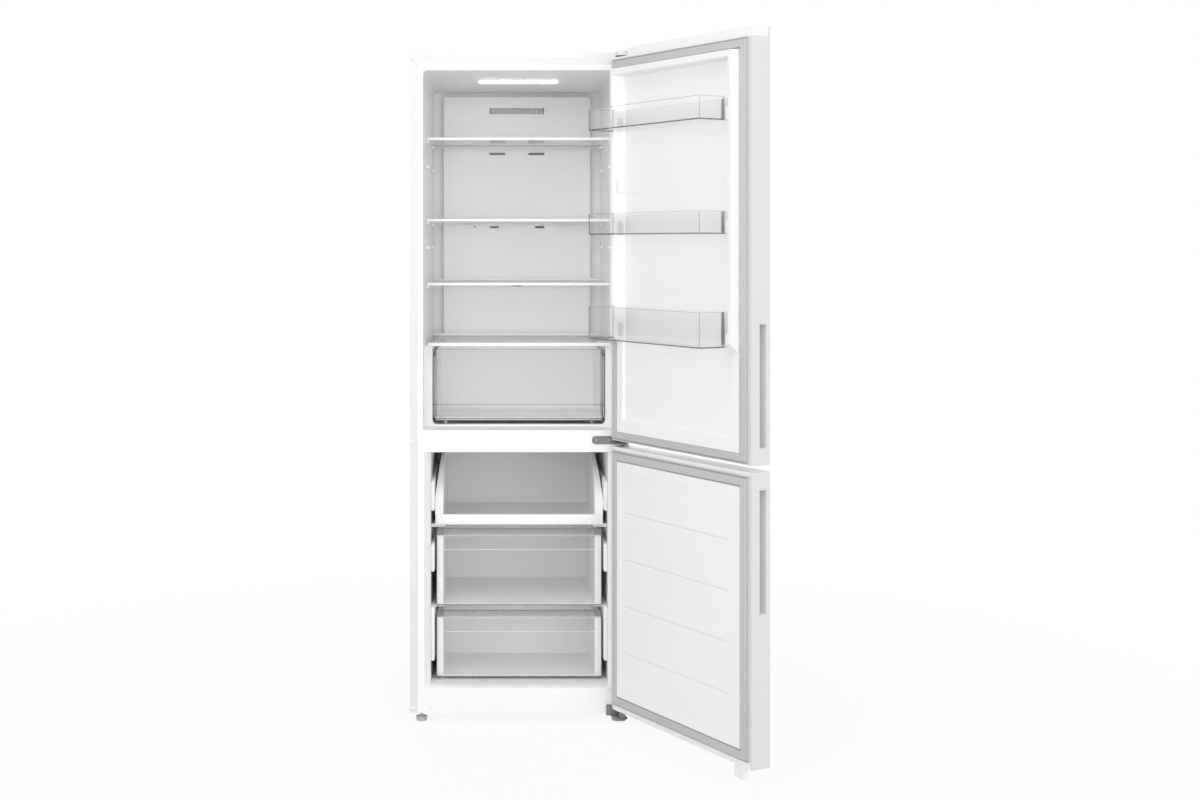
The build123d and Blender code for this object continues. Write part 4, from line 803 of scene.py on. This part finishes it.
# ---- Operators: cabinet --------------------------------------------------------------------------
class FRIDGE_OT_cabinet(bpy.types.Operator):
    """Folds the steel wrap, with its seams, cross members and hole plugs"""

    bl_idname = "fridge.cabinet"
    bl_label = "Cabinet"

    def execute(self, context):
        sizes = context.scene.fridge_sizes
        dressed("outer_shell", sizes.sheet_edge)
        dressed("mid_beam", sizes.moulding_edge)
        dressed("kick_rail", sizes.moulding_edge)
        dressed("bottom_plate", sizes.sheet_edge)
        self.seams(sizes)
        self.plugs()
        return {"FINISHED"}

    def seams(self, sizes):
        """Dark mitre lines across the folded flanges' two upper corners."""
        _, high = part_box("outer_shell")
        half = sizes.seam_width / 2
        flange_width, flange_height = 0.0207, 0.0179
        proud, sunk = -0.00008, 0.0003
        shape = bmesh.new()
        for side in (-1, 1):
            outer = Vector((side * high.x, 0, high.z))
            inner = Vector((side * (high.x - flange_width), 0, high.z - flange_height))
            across = Vector((flange_height, 0, side * -flange_width)).normalized() * half
            corners = (outer - across, outer + across, inner + across, inner - across)
            front = [shape.verts.new(corner + Vector((0, proud, 0))) for corner in corners]
            back = [shape.verts.new(corner + Vector((0, sunk, 0))) for corner in corners]
            shape.faces.new(front)
            shape.faces.new(list(reversed(back)))
            for index in range(4):
                after = (index + 1) % 4
                shape.faces.new((front[index], back[index], back[after], front[after]))
        settle(from_bmesh("flange_mitres", shape), "cabinet", "shadow_gap")

    def plugs(self):
        """Domed plugs in the spare hinge holes, and the wedge over the spare top hinge's place."""
        dome = in_metres([(0, -2.0), (4.5, -2.0), (4.5, 0.6), (4.1, 1.2), (3.0, 1.6), (0, 1.8)])
        spots = [(-0.243, 0.0005, 0.7665), (-0.21, 0.0005, 0.7665), (-0.2435, 0.0005, 0.0383)]
        spots += [(-0.2892, 0.0, 0.763), (-0.2892, 0.0, 0.0383)]
        plugs = turned("hinge_hole_plugs", [(dome, along("-Y", spot)) for spot in spots], 24)
        settle(plugs, "cabinet", "white_plastic")
        dressed("hinge_hole_covers", 0.0004)


class FRIDGE_OT_liners(bpy.types.Operator):
    """Forms both compartments' liners, with the air duct panel, the lamp and the sensor"""

    bl_idname = "fridge.liners"
    bl_label = "Liners"

    def execute(self, context):
        sizes = context.scene.fridge_sizes
        dressed("fridge_liner", sizes.liner_edge)
        dressed("freezer_liner", sizes.liner_edge)
        dressed("air_duct_panel", sizes.moulding_edge)
        dressed("light_bar", 0.0006)
        self.wall_pads()
        self.sensor()
        self.slats()
        return {"FINISHED"}

    def wall_pads(self):
        """Long pads on the freezer's side walls that keep the drawers in line."""
        depth = (0.030, 0.400)
        limits = []
        for levels in ((0.158, 0.307), (0.402, 0.478), (0.569, 0.650)):
            limits += both_sides(0.2318, 0.2425, depth, levels)
        settle(blocks("freezer_wall_pads", limits, 0.004), "cabinet", "white_plastic")

    def sensor(self):
        """The temperature sensor's small housing on the duct panel, with its dark eye."""
        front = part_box("air_duct_panel")[0].y
        proud = 0.0035
        limits = [((-0.153, -0.1184), (front - proud, front + 0.001), (1.345, 1.3606))]
        settle(blocks("sensor_housing", limits, 0.0012), "cabinet", "white_plastic")
        eye = in_metres([(0, -1.0), (2.2, -1.0), (2.2, 0.6), (1.6, 1.0), (0, 1.1)])
        spot = (-0.127, front - proud, 1.3528)
        settle(turned("sensor_eye", [(eye, along("-Y", spot))], 20), "cabinet", "black_plastic")

    def slats(self):
        """Upright bars in the wide upper vent of the duct panel."""
        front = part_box("air_duct_panel")[0].y
        bar = ((-0.0008, 0.0008), (front + 0.0012, front + 0.0028), (1.6922, 1.7094))
        values = {"Count": 12, "Start": (-0.0725, 0, 0), "Step": (0.0131, 0, 0)}
        unit = blocks("bar_unit", [bar], 0.0)
        bars = grown("upper_vent_bars", "row", unit, "white_plastic", **values)
        settle(bars, "cabinet", "white_plastic")


class FRIDGE_OT_shelves(bpy.types.Operator):
    """Lays the three glass shelves in their trims"""

    bl_idname = "fridge.shelves"
    bl_label = "Shelves"

    def execute(self, context):
        sizes = context.scene.fridge_sizes
        for level in ("upper", "middle", "lower"):
            dressed(level + "_shelf_glass", 0.0005)
            dressed(level + "_shelf_trim", sizes.moulding_edge)
        return {"FINISHED"}


class FRIDGE_OT_crisper(bpy.types.Operator):
    """Fits the crisper drawer under its glass cover"""

    bl_idname = "fridge.crisper"
    bl_label = "Crisper"

    def execute(self, context):
        sizes = context.scene.fridge_sizes
        dressed("crisper_cover_glass", 0.0005)
        dressed("crisper_cover_trim", sizes.moulding_edge)
        self.drawer()
        self.edges()
        return {"FINISHED"}

    def drawer(self):
        """The drawer's clear front on its milky tub."""
        piece = dressed("crisper_drawer", 0.0005)
        piece.data.materials.append(FINISHES["frosted_plastic"].material)
        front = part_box("crisper_drawer")[0].y + 0.007
        for face in piece.data.polygons:
            if face.center.y > front:
                face.material_index = 1

    def edges(self):
        """The front's dense edges, its grip line, and the grey runner shoes at both sides; along the bottom
        the dark outline is painted shade for the gap under the drawer.
        """
        low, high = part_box("crisper_drawer")
        face = low.y
        front_low = 0.8152
        width = (-0.2388, 0.2388)
        dark = [(width, (face - 0.0010, face + 0.0010), (front_low + 0.0376, front_low + 0.0388))]
        line = blocks("crisper_grip_line", dark, 0.0004)
        settle(line, "crisper_drawer", "dark_edge_and_gap_shade")
        pale = [
            (width, (face - 0.0008, face + 0.0008), (front_low + 0.0210, front_low + 0.0218)),
            (width, (face - 0.0006, face + 0.0026), (high.z - 0.0019, high.z - 0.0004)),
        ]
        lines = blocks("crisper_pale_lines", pale, 0.0003)
        settle(lines, "crisper_drawer", "clear_edge")
        # The dark outline runs up the sides and along the bottom; along the bottom it is painted shade for
        # the gap between the drawer and the liner's floor.
        path = self.front_outline(0.2389, front_low, high.z)
        rim = upright_band("crisper_front_rim", path, (face - 0.0010, face + 0.0016), 0.0018)
        settle(rim, "crisper_drawer", "dark_edge_and_gap_shade")
        lining = self.front_outline(0.2364, front_low + 0.0024, high.z - 0.02)
        inner = upright_band("crisper_front_lining", lining, (face + 0.0004, face + 0.0024), 0.0014)
        settle(inner, "crisper_drawer", "trim_plastic")
        shoes = both_sides(0.2265, 0.2337, (face + 0.0055, face + 0.0075), (0.836, 0.989))
        bands = blocks("crisper_side_bands", shoes, 0.0006)
        settle(bands, "crisper_drawer", "runner_grey")

    def front_outline(self, half, low, high):
        return rounded_path([(-half, high), (-half, low), (half, low), (half, high)], 0.008)


def upright_band(name, path, y, thickness):
    """A strip along an outline drawn on the drawer's face: path points are (x, z)."""
    shape = bmesh.new()
    add_band(shape, path, (-y[1], -y[0]), thickness)
    turn = Matrix(((1, 0, 0, 0), (0, 0, -1, 0), (0, 1, 0, 0), (0, 0, 0, 1)))
    piece = from_bmesh(name, shape, turn)
    smooth(piece, 35)
    return piece


class FRIDGE_OT_freezer_drawers(bpy.types.Operator):
    """Moulds the freezer's open basket and its two drawers"""

    bl_idname = "fridge.freezer_drawers"
    bl_label = "Freezer drawers"

    def execute(self, context):
        sizes = context.scene.fridge_sizes
        for level in ("middle", "bottom"):
            dressed(level + "_drawer_tub", sizes.moulding_edge)
            dressed(level + "_drawer_front", sizes.moulding_edge)
            self.front_edges(level)
        self.basket()
        return {"FINISHED"}

    def front_edges(self, level):
        """A drawer front's dense edges, folded grip and fine lines, and the tub's pale flanges."""
        body = level + "_drawer"
        low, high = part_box(body + "_front")
        face = low.y
        corners = [(low.x, high.z), (low.x, low.z), (high.x, low.z), (high.x, high.z)]
        path = rounded_path(corners, 0.004)
        rim = upright_band(body + "_rim", path, (face - 0.0008, face + 0.0018), 0.0020)
        settle(rim, body, "dark_edge_and_gap_shade")
        x = (low.x + 0.0008, high.x - 0.0008)
        top = [(x, (face - 0.0006, face + 0.0014), (high.z - 0.0014, high.z + 0.0002))]
        settle(blocks(body + "_top_line", top, 0.0004), body, "dark_edge_and_gap_shade")
        grip = [(x, (face + 0.0145, face + 0.0178), (high.z - 0.0195, high.z - 0.001))]
        settle(blocks(body + "_grip_back", grip, 0.001), body, "clear_edge")
        lines = [(x, (face - 0.0005, face + 0.001), (level_z, level_z + 0.0011))
                 for level_z in (high.z - 0.0205, high.z - 0.0587)]
        settle(blocks(body + "_ridges", lines, 0.0004), body, "trim_plastic")
        depth = (face + 0.0040, face + 0.0056)
        flanges = both_sides(0.2115, 0.2252, depth, (low.z + 0.004, high.z - 0.021))
        settle(blocks(body + "_flanges", flanges, 0.0006), body, "frosted_plastic")

    def scoop(self, y):
        """Height of the basket's side at a depth: a smooth sweep up from the lip."""
        start = Vector((0.0600, BASKET_LIP_TOP))
        mid = Vector((0.0640, 0.6700))
        full = Vector((0.2440, 0.6998))
        if y >= full.x:
            return full.y
        if y <= start.x:
            return start.y
        low_share, high_share = 0.0, 1.0
        for _ in range(30):
            share = (low_share + high_share) / 2
            x = (1 - share) ** 2 * start.x + 2 * share * (1 - share) * mid.x + share ** 2 * full.x
            if x < y:
                low_share = share
            else:
                high_share = share
        return (1 - share) ** 2 * start.y + 2 * share * (1 - share) * mid.y + share ** 2 * full.y

    def basket(self):
        low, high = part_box("freezer_basket")
        half, wall, floor = 0.211, 0.0022, low.z
        front, back = low.y + 0.003, high.y
        corner = 0.012
        corner_steps, straight_steps, sweep_steps = 6, 6, 30
        stations = []
        for step in range(corner_steps + 1):
            turn = math.pi / 2 * step / corner_steps
            x = half - corner + corner * math.sin(turn)
            stations.append((x, back - corner + corner * math.cos(turn)))
        front_corner = 0.004
        straight = back - corner - BASKET_SWEEP_END
        swept = BASKET_SWEEP_END - front - front_corner
        depths = [back - corner - straight * step / straight_steps
                  for step in range(1, straight_steps + 1)]
        depths += [BASKET_SWEEP_END - swept * step / sweep_steps
                   for step in range(1, sweep_steps + 1)]
        stations += [(half, depth) for depth in depths]
        stations.append((half - front_corner, front))
        right = [(0.0, back)] + stations + [(0.0, front)]
        ring = right + [(-x, y) for x, y in reversed(right[1:-1])]
        shape = bmesh.new()
        self.shell(shape, ring, wall, floor)
        for side in (-1, 1):
            self.flange(shape, side, half - 0.001, -low.x, high.y)
        piece = from_bmesh("freezer_basket_moulding", shape)
        smooth(piece, 40)
        settle(piece, "freezer_basket", "frosted_plastic", replaced=("freezer_basket",))
        self.lip(low)

    def shell(self, shape, ring, wall, floor):
        """A thin open tub whose rim follows the scoop."""
        outer_low, outer_high, inner_high, inner_low = [], [], [], []
        half = max(x for x, _ in ring)
        front = min(y for _, y in ring)
        back = max(y for _, y in ring)
        for x, y in ring:
            inner_x = x * (half - wall) / half
            inner_y = min(max(y, front + wall), back - wall)
            rim = self.scoop(y) if y > front + 0.006 else BASKET_LIP_TOP
            outer_low.append(shape.verts.new((x, y, floor)))
            outer_high.append(shape.verts.new((x, y, rim)))
            inner_high.append(shape.verts.new((inner_x, inner_y, rim)))
            inner_low.append(shape.verts.new((inner_x, inner_y, floor + wall)))
        count = len(ring)
        walls = ((outer_low, outer_high), (outer_high, inner_high), (inner_high, inner_low))
        for index in range(count):
            after = (index + 1) % count
            for here, there in walls:
                shape.faces.new((here[index], here[after], there[after], there[index]))
        shape.faces.new(outer_low)
        shape.faces.new(list(reversed(inner_low)))

    def flange(self, shape, side, inner, outer, back):
        """The side's rolled flange: wider towards the lip, and turned down at its outer edge."""
        start, steps = 0.0575, 34
        depths = [start + (BASKET_SWEEP_END - start) * step / steps for step in range(steps + 1)]
        depths.append(back)
        level = Vector((0, 0))
        rings = []
        for index, y in enumerate(depths):
            rim = self.scoop(y)
            ahead = depths[min(index + 1, len(depths) - 1)]
            behind = depths[max(index - 1, 0)]
            slope = Vector((ahead - behind, self.scoop(ahead) - self.scoop(behind))).normalized()
            under = Vector((slope.y, -slope.x)) * 0.0026
            reach = outer - 0.0125 * min(1.0, max(0.0, (rim - 0.60) / 0.1))
            edge = Vector((slope.y, -slope.x)) * 0.007
            outline = [
                (inner, level), (reach, level), (reach + 0.0012, edge * 0.2),
                (reach + 0.0012, edge), (reach - 0.001, edge), (reach - 0.001, under),
                (inner, under),
            ]
            spots = [(side * x, y + shift.x, rim + shift.y) for x, shift in outline]
            rings.append([shape.verts.new(spot) for spot in spots])
        add_skin(shape, rings)

    def lip(self, low):
        """The wide front lip, hollow behind, that ends in rounded corners."""
        face = low.y
        limits = [
            ((low.x, -low.x), (face, face + 0.0035), (low.z, low.z + 0.0275)),
            ((low.x + 0.0002, -low.x - 0.0002), (face + 0.0001, face + 0.011),
             (low.z + 0.025, low.z + 0.0276)),
            ((low.x + 0.02, -low.x - 0.02), (face + 0.001, face + 0.0115),
             (low.z - 0.0002, low.z + 0.0024)),
        ]
        settle(blocks("freezer_basket_lip", limits, 0.0011), "freezer_basket", "frosted_plastic")


# ---- Operators: doors ----------------------------------------------------------------------------
class FRIDGE_OT_doors(bpy.types.Operator):
    """Dresses both door slabs: skins, liners, end caps, grips and the liners' pressed lines"""

    bl_idname = "fridge.doors"
    bl_label = "Doors"

    def execute(self, context):
        sizes = context.scene.fridge_sizes
        for door in ("fridge_door", "freezer_door"):
            dressed(door + "_skin", sizes.sheet_edge)
            dressed(door + "_grip", sizes.moulding_edge)
            dressed(door + "_caps", sizes.moulding_edge)
        dressed("fridge_door_liner", 0.0007)
        self.freezer_liner(sizes)
        self.panel_line()
        self.spare_lugs()
        return {"FINISHED"}

    def freezer_liner(self, sizes):
        """The freezer door's liner, its panel pressed in and crossed by four rounded grooves, with painted
        shade on the downward faces of the grooves and of the panel's upper step.
        """
        level = SLAB_FACE + PANEL_RISE
        radius, depth, reach = 0.0052, 0.0014, 0.2195
        arc_steps = 6
        arc = [math.pi / 2 * step / arc_steps for step in range(arc_steps + 1)]
        outline = [(radius * math.sin(turn), -reach - radius * math.cos(turn)) for turn in arc]
        outline += [(radius * math.cos(turn), reach + radius * math.sin(turn)) for turn in arc]
        groove = turned("groove_unit", [(outline, along("X", (0, level + radius - depth, 0)))], 40)
        values = {"Count": 4, "Start": (0, 0, 0.2085), "Step": (0, 0, 0.1245)}
        grooves = grown("freezer_door_grooves", "row", groove, "white_plastic", **values)
        grooves.data.transform(SWING)
        panel = [((-0.244, 0.244), (level - sizes.panel_depth, level + 0.004), (0.101, 0.688))]
        cutters = (blocks("panel_unit", panel, 0.0, SWING), grooves)
        liner = carved(merged_copy("freezer_door_liner"), cutters)
        stands_for(soften(liner, 0.0004, degrees=40), "freezer_door_liner")
        liner.data.materials.append(FINISHES["groove_shade"].material)
        inner = SWING.to_3x3() @ Vector((0, 1, 0))
        groove_floor, panel_face, overhang = 0.0075, 0.0101, -0.12
        low, high = 0.1, 0.7
        # Faces in the grooves and at the panel's upper step that face downwards take groove_shade: painted
        # shade where light from above falls less.
        for face in liner.data.polygons:
            proud = (face.center - SWING @ Vector((0, SLAB_FACE, 0))).dot(inner)
            in_groove = groove_floor < proud < panel_face and low < face.center.z < high
            if in_groove and face.normal.z < overhang:
                face.material_index = 1

    def panel_line(self):
        """The fine step across the fridge door's liner, where the formed sheet changes level."""
        line = [((-0.231, 0.229), (SLAB_FACE + 0.0048, SLAB_FACE + 0.0058), (1.4355, 1.4373))]
        settle(blocks("fridge_door_line", line, 0.0004, SWING), "fridge_door", "white_plastic")

    def spare_lugs(self):
        """Lugs for one more bin between the upper two."""
        depth = (SLAB_FACE + 0.012, SLAB_FACE + 0.028)
        limits = both_sides(0.2268, 0.2365, depth, (1.436, 1.47))
        settle(blocks("spare_bin_lugs", limits, 0.002, SWING), "fridge_door", "white_plastic")


class FRIDGE_OT_gaskets(bpy.types.Operator):
    """Extrudes the magnetic door seals, with their bellows and mitred corners"""

    bl_idname = "fridge.gaskets"
    bl_label = "Door seals"

    def execute(self, context):
        outline = [
            (0.0, 0.0), (24.0, 0.0), (24.0, 10.4), (23.2, 11.5), (22.2, 11.7), (17.4, 11.7),
            (17.0, 11.4), (16.6, 11.7), (12.2, 11.7), (11.8, 11.4), (11.4, 11.7), (7.0, 11.7),
            (6.0, 11.3), (5.7, 10.4), (5.7, 3.4), (5.2, 2.8), (3.2, 2.8), (2.9, 3.4),
            (2.9, 5.8), (2.4, 6.3), (0.6, 6.3), (0.0, 5.7),
        ]
        half = 0.2885
        for door in ("fridge_door", "freezer_door"):
            low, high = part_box(door + "_gasket")
            piece = frame_loop(door + "_seal", half, (low.z, high.z), in_metres(outline), SWING)
            smooth(piece, 50)
            settle(piece, door, "grey_gasket", replaced=(door + "_gasket",))
        return {"FINISHED"}


class FRIDGE_OT_door_bins(bpy.types.Operator):
    """Moulds the three clear door bins with their denser edges"""

    bl_idname = "fridge.door_bins"
    bl_label = "Door bins"

    def execute(self, context):
        sizes = context.scene.fridge_sizes
        for level in ("upper", "middle", "lower"):
            name = level + "_bin"
            dressed(name, 0.0006)
            low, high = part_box(name)
            self.edges(name, low.z, high.z, sizes)
        return {"FINISHED"}

    def edges(self, name, low, high, sizes):
        """The dense lower edge, the thin rim and the corner lines of one bin."""
        front = SLAB_FACE + 0.114
        rear = SLAB_FACE + 0.0365
        half = 0.2385
        corners = [(half, rear), (half, front), (-half, front), (-half, rear)]
        path = rounded_path(corners, 0.005)
        bands = (
            ("_foot", (low - 0.0003, low + sizes.bin_foot), "dark_edge_and_gap_shade"),
            ("_rim", (high - 0.0011, high + 0.0003), "clear_edge"),
        )
        for suffix, z, finish in bands:
            shape = bmesh.new()
            add_band(shape, path, z, 0.0024)
            band = from_bmesh(name + suffix, shape, SWING)
            smooth(band, 35)
            settle(band, name, finish)
        radius = 0.0004
        limits = [((half - 0.0012, half + 0.0004), (front - 0.0020, front + 0.0002), (low, high))]
        post = blocks(name + "_hinge_post", limits, radius, SWING)
        settle(post, name, "dark_edge_and_gap_shade")
        limits = [
            ((-half - 0.0004, -half + 0.0010), (front - 0.0016, front + 0.0002), (low, high)),
            ((half - 0.0010, half + 0.0004), (rear - 0.0004, rear + 0.0012), (low, high)),
        ]
        posts = blocks(name + "_pale_posts", limits, radius, SWING)
        settle(posts, name, "clear_edge")


# ---- Operators: fittings -------------------------------------------------------------------------
class FRIDGE_OT_hinges(bpy.types.Operator):
    """Fits the three hinges, their cover and their screws"""

    bl_idname = "fridge.hinges"
    bl_label = "Hinges"

    def execute(self, context):
        sizes = context.scene.fridge_sizes
        for node in ("top_hinge", "middle_hinge", "bottom_hinge"):
            dressed(node, 0.0005)
        dressed("top_hinge_cover", sizes.moulding_edge)
        spots = [(0.21, 0.0, 0.7665), (0.244, 0.0, 0.7665), (0.2435, -0.003, 0.0383)]
        screws("front_hinge_screws", spots, "-Y", sizes, replaced=("hinge_screws",))
        spots = [(0.23, 0.025, 1.8085), (0.23, 0.06, 1.8085), (0.262, 0.06, 1.8085)]
        screws("top_hinge_screws", spots, "Z", sizes)
        return {"FINISHED"}


class FRIDGE_OT_feet(bpy.types.Operator):
    """Turns the levelling feet and the rear rollers"""

    bl_idname = "fridge.feet"
    bl_label = "Feet and rollers"

    def execute(self, context):
        sizes = context.scene.fridge_sizes
        for side, name in ((-1, "front_foot_left"), (1, "front_foot_right")):
            self.foot(name, side * FOOT_X, sizes)
        self.rollers()
        return {"FINISHED"}

    def foot(self, name, x, sizes):
        outline = [
            (0, 0), (11.5, 0), (13.2, 0.8), (14.0, 2.2), (14.0, 7.6), (15.0, 8.6),
            (15.5, 9.2), (15.5, 11.4), (14.8, 12.0), (6.5, 12.0), (5.6, 13.2), (4.0, 13.4),
        ]
        turns, pitch = 12, 3
        for climb in range(0, turns * pitch, pitch):
            outline += [(4.0, 14.0 + climb), (3.5, 15.0 + climb), (3.5, 15.8 + climb)]
        outline += [(4.0, 51.0), (3.4, 52.0), (0, 52.0)]
        steps = 48
        knurl_start, knurl_low, knurl_high = 0.0138, 0.002, 0.0116
        shape = bmesh.new()
        add_turned(shape, in_metres(outline), Matrix.Translation((x, FOOT_Y, 0)), steps)
        for vertex in shape.verts:
            arm = Vector((vertex.co.x - x, vertex.co.y - FOOT_Y))
            if arm.length > knurl_start and knurl_low < vertex.co.z < knurl_high:
                step = round(math.atan2(arm.y, arm.x) / math.tau * steps)
                if step % 2:
                    shrink = (arm.length - sizes.knurl_depth) / arm.length
                    vertex.co.x = x + arm.x * shrink
                    vertex.co.y = FOOT_Y + arm.y * shrink
        piece = from_bmesh(name + "_moulding", shape)
        smooth(piece, 30)
        settle(piece, name, "foot_plastic", replaced=(name,))

    def rollers(self):
        half = [(0, -8), (3.2, -8), (3.2, -7.4), (9, -7.0), (11, -5.2), (12.8, -5.2), (14.4, -8)]
        half += [(16.2, -8), (17, -7.2)]
        outline = half + [(radius, -height) for radius, height in reversed(half)]
        spots = [(side * ROLLER_X, ROLLER_Y, ROLLER_Z) for side in (-1, 1)]
        places = [(in_metres(outline), along("X", spot)) for spot in spots]
        piece = turned("rear_rollers_moulding", places, 40)
        settle(piece, "rear_rollers", "foot_plastic", replaced=("rear_rollers",))


class FRIDGE_OT_machine_room(bpy.types.Operator):
    """Fits the compressor, its pipes, the drip tray and the slotted cover"""

    bl_idname = "fridge.machine_room"
    bl_label = "Machine room"

    def execute(self, context):
        sizes = context.scene.fridge_sizes
        dressed("compressor_base", sizes.sheet_edge)
        dressed("compressor_mounts", 0.001)
        dressed("drip_tray", sizes.moulding_edge)
        dressed("machine_room_cover", 0.0002)
        self.compressor()
        self.pipes()
        spots = [(x, BACK_FACE - 0.0008, z) for x in (-0.285, 0.0, 0.285) for z in (0.068, 0.2465)]
        screws("cover_screws", spots, "Y", sizes)
        return {"FINISHED"}

    def compressor(self):
        outline = [
            (0, 53), (46, 53), (60, 58), (70, 68), (74, 84), (74, 128), (77, 130), (77.6, 134),
            (77, 138), (74, 140), (73, 152), (68, 172), (57, 189), (40, 199), (20, 202.6), (0, 203),
        ]
        place = Matrix.Translation((COMPRESSOR_X, COMPRESSOR_Y, 0))
        body = turned("compressor_shell", [(in_metres(outline), place)], 56, 50)
        settle(body, "cabinet", "black_paint", replaced=("compressor",))
        plate = [((0.001, 0.189), (0.409, 0.541), (0.05, 0.053))]
        settle(blocks("compressor_foot_plate", plate, 0.0012), "cabinet", "black_paint")
        box = [
            ((-0.005, 0.034), (0.45, 0.5), (0.091, 0.151)),
            ((-0.0062, -0.004), (0.458, 0.492), (0.1, 0.142)),
        ]
        settle(blocks("compressor_terminal_cover", box, 0.003), "cabinet", "black_plastic")

    def pipes(self):
        """Suction and discharge pipes, and the sealed filling stub."""
        suction = [
            (0.158, 0.50, 0.10), (0.19, 0.51, 0.10), (0.215, 0.51, 0.13), (0.225, 0.505, 0.19),
            (0.225, 0.48, 0.235), (0.2, 0.44, 0.2425), (0.12, 0.42, 0.2425),
        ]
        discharge = [
            (0.15, 0.43, 0.09), (0.19, 0.425, 0.09), (0.235, 0.425, 0.10),
            (0.265, 0.44, 0.14), (0.27, 0.46, 0.2), (0.27, 0.47, 0.24),
        ]
        stub = [(0.06, 0.538, 0.1), (0.055, 0.548, 0.1), (0.05, 0.552, 0.115), (0.05, 0.552, 0.16)]
        routes = (
            ("suction_pipe", suction, 0.004),
            ("discharge_pipe", discharge, 0.003),
            ("filling_stub", stub, 0.003),
        )
        for name, route, radius in routes:
            settle(pipe(name, route, radius), "cabinet", "copper_tube")


class FRIDGE_OT_back(bpy.types.Operator):
    """Presses the rear panel's beads and drives its screws"""

    bl_idname = "fridge.back"
    bl_label = "Rear panel"

    def execute(self, context):
        sizes = context.scene.fridge_sizes
        dressed("rear_panel", 0.0002)
        self.beads(sizes)
        edge_x = 0.289
        lowest, spacing = 0.275, 0.2145
        levels = [lowest + step * spacing for step in range(8)]
        spots = [(side * edge_x, BACK_FACE, z) for side in (-1, 1) for z in levels]
        spots += [(x, BACK_FACE, 1.7955) for x in (-0.16, 0.0, 0.16)]
        screws("rear_panel_screws", spots, "Y", sizes)
        return {"FINISHED"}

    def beads(self, sizes):
        """Long upright stiffening beads with tapered ends, side by side."""
        half = sizes.bead_width / 2
        shape = bmesh.new()
        rings = []
        low, high, taper = 0.33, 1.73, 0.02
        relief, sunk, arc_steps = 0.0018, 0.0002, 8
        levels = [
            (low, 0.05), (low + taper * 0.4, 0.7), (low + taper, 1.0),
            (high - taper, 1.0), (high - taper * 0.4, 0.7), (high, 0.05),
        ]
        for z, spread in levels:
            ring = []
            for arc in range(arc_steps + 1):
                around = math.pi * arc / arc_steps
                x = half * spread * math.cos(around)
                y = BACK_FACE - sunk + relief * spread * math.sin(around)
                ring.append(shape.verts.new((x, y, z)))
            rings.append(ring)
        add_skin(shape, rings)
        unit = from_bmesh("bead_unit", shape)
        values = {"Count": 6, "Start": (-0.2, 0, 0), "Step": (0.08, 0, 0)}
        beads = grown("rear_panel_beads", "row", unit, "grey_steel", **values)
        settle(beads, "cabinet", "grey_steel")


class FRIDGE_OT_cold_air(bpy.types.Operator):
    """Dresses the freezer's back cover, the fan, the evaporator and the damper"""

    bl_idname = "fridge.cold_air"
    bl_label = "Cold air"

    def execute(self, context):
        sizes = context.scene.fridge_sizes
        dressed("freezer_back_cover", sizes.moulding_edge)
        dressed("fan_motor", 0.001)
        dressed("fan_blade", 0.0004)
        dressed("evaporator", 0.0002)
        dressed("damper_housing", 0.0005)
        dressed("damper_flap", 0.0004)
        spots = [(x, 0.436, z) for x in (-0.215, 0.215) for z in (0.32, 0.712)]
        screws("back_cover_screws", spots, "-Y", sizes, "white_plastic")
        return {"FINISHED"}


OPERATORS = (
    FRIDGE_OT_stage, FRIDGE_OT_cabinet, FRIDGE_OT_liners, FRIDGE_OT_shelves, FRIDGE_OT_crisper,
    FRIDGE_OT_freezer_drawers, FRIDGE_OT_doors, FRIDGE_OT_gaskets, FRIDGE_OT_door_bins,
    FRIDGE_OT_hinges, FRIDGE_OT_feet, FRIDGE_OT_machine_room, FRIDGE_OT_back, FRIDGE_OT_cold_air,
)


class FRIDGE_PT_panel(bpy.types.Panel):
    """Lists the sizes, the colours and the steps that build the refrigerator"""

    bl_idname = "FRIDGE_PT_panel"
    bl_label = "Refrigerator"
    bl_space_type = "VIEW_3D"
    bl_region_type = "UI"
    bl_category = "Refrigerator"

    def draw(self, context):
        layout = self.layout
        for group in (context.scene.fridge_sizes, context.scene.fridge_colours):
            for key in group.__annotations__:
                layout.prop(group, key)
        for operator in OPERATORS:
            layout.operator(operator.bl_idname)


CLASSES = (FridgeSizes, FridgeColours, *OPERATORS, FRIDGE_PT_panel)


def register():
    for cls in CLASSES:
        bpy.utils.register_class(cls)
    bpy.types.Scene.fridge_sizes = bpy.props.PointerProperty(type=FridgeSizes)
    bpy.types.Scene.fridge_colours = bpy.props.PointerProperty(type=FridgeColours)


def unregister():
    del bpy.types.Scene.fridge_colours
    del bpy.types.Scene.fridge_sizes
    for cls in reversed(CLASSES):
        bpy.utils.unregister_class(cls)


def main():
    register()
    FINISHES.update(make_finishes(bpy.context.scene.fridge_colours))
    TREES.update(scatter=scatter_tree(), row=row_tree())
    for node, piece in NODES.items():
        piece.data.materials.clear()
        piece.data.materials.append(FINISHES[SLOTS[node]].material)
    for operator in OPERATORS:
        group, name = operator.bl_idname.split(".")
        result = getattr(getattr(bpy.ops, group), name)()
        if result != {"FINISHED"}:
            raise RuntimeError(f"{operator.bl_label} did not finish")


if __name__ == "__main__":
    main()
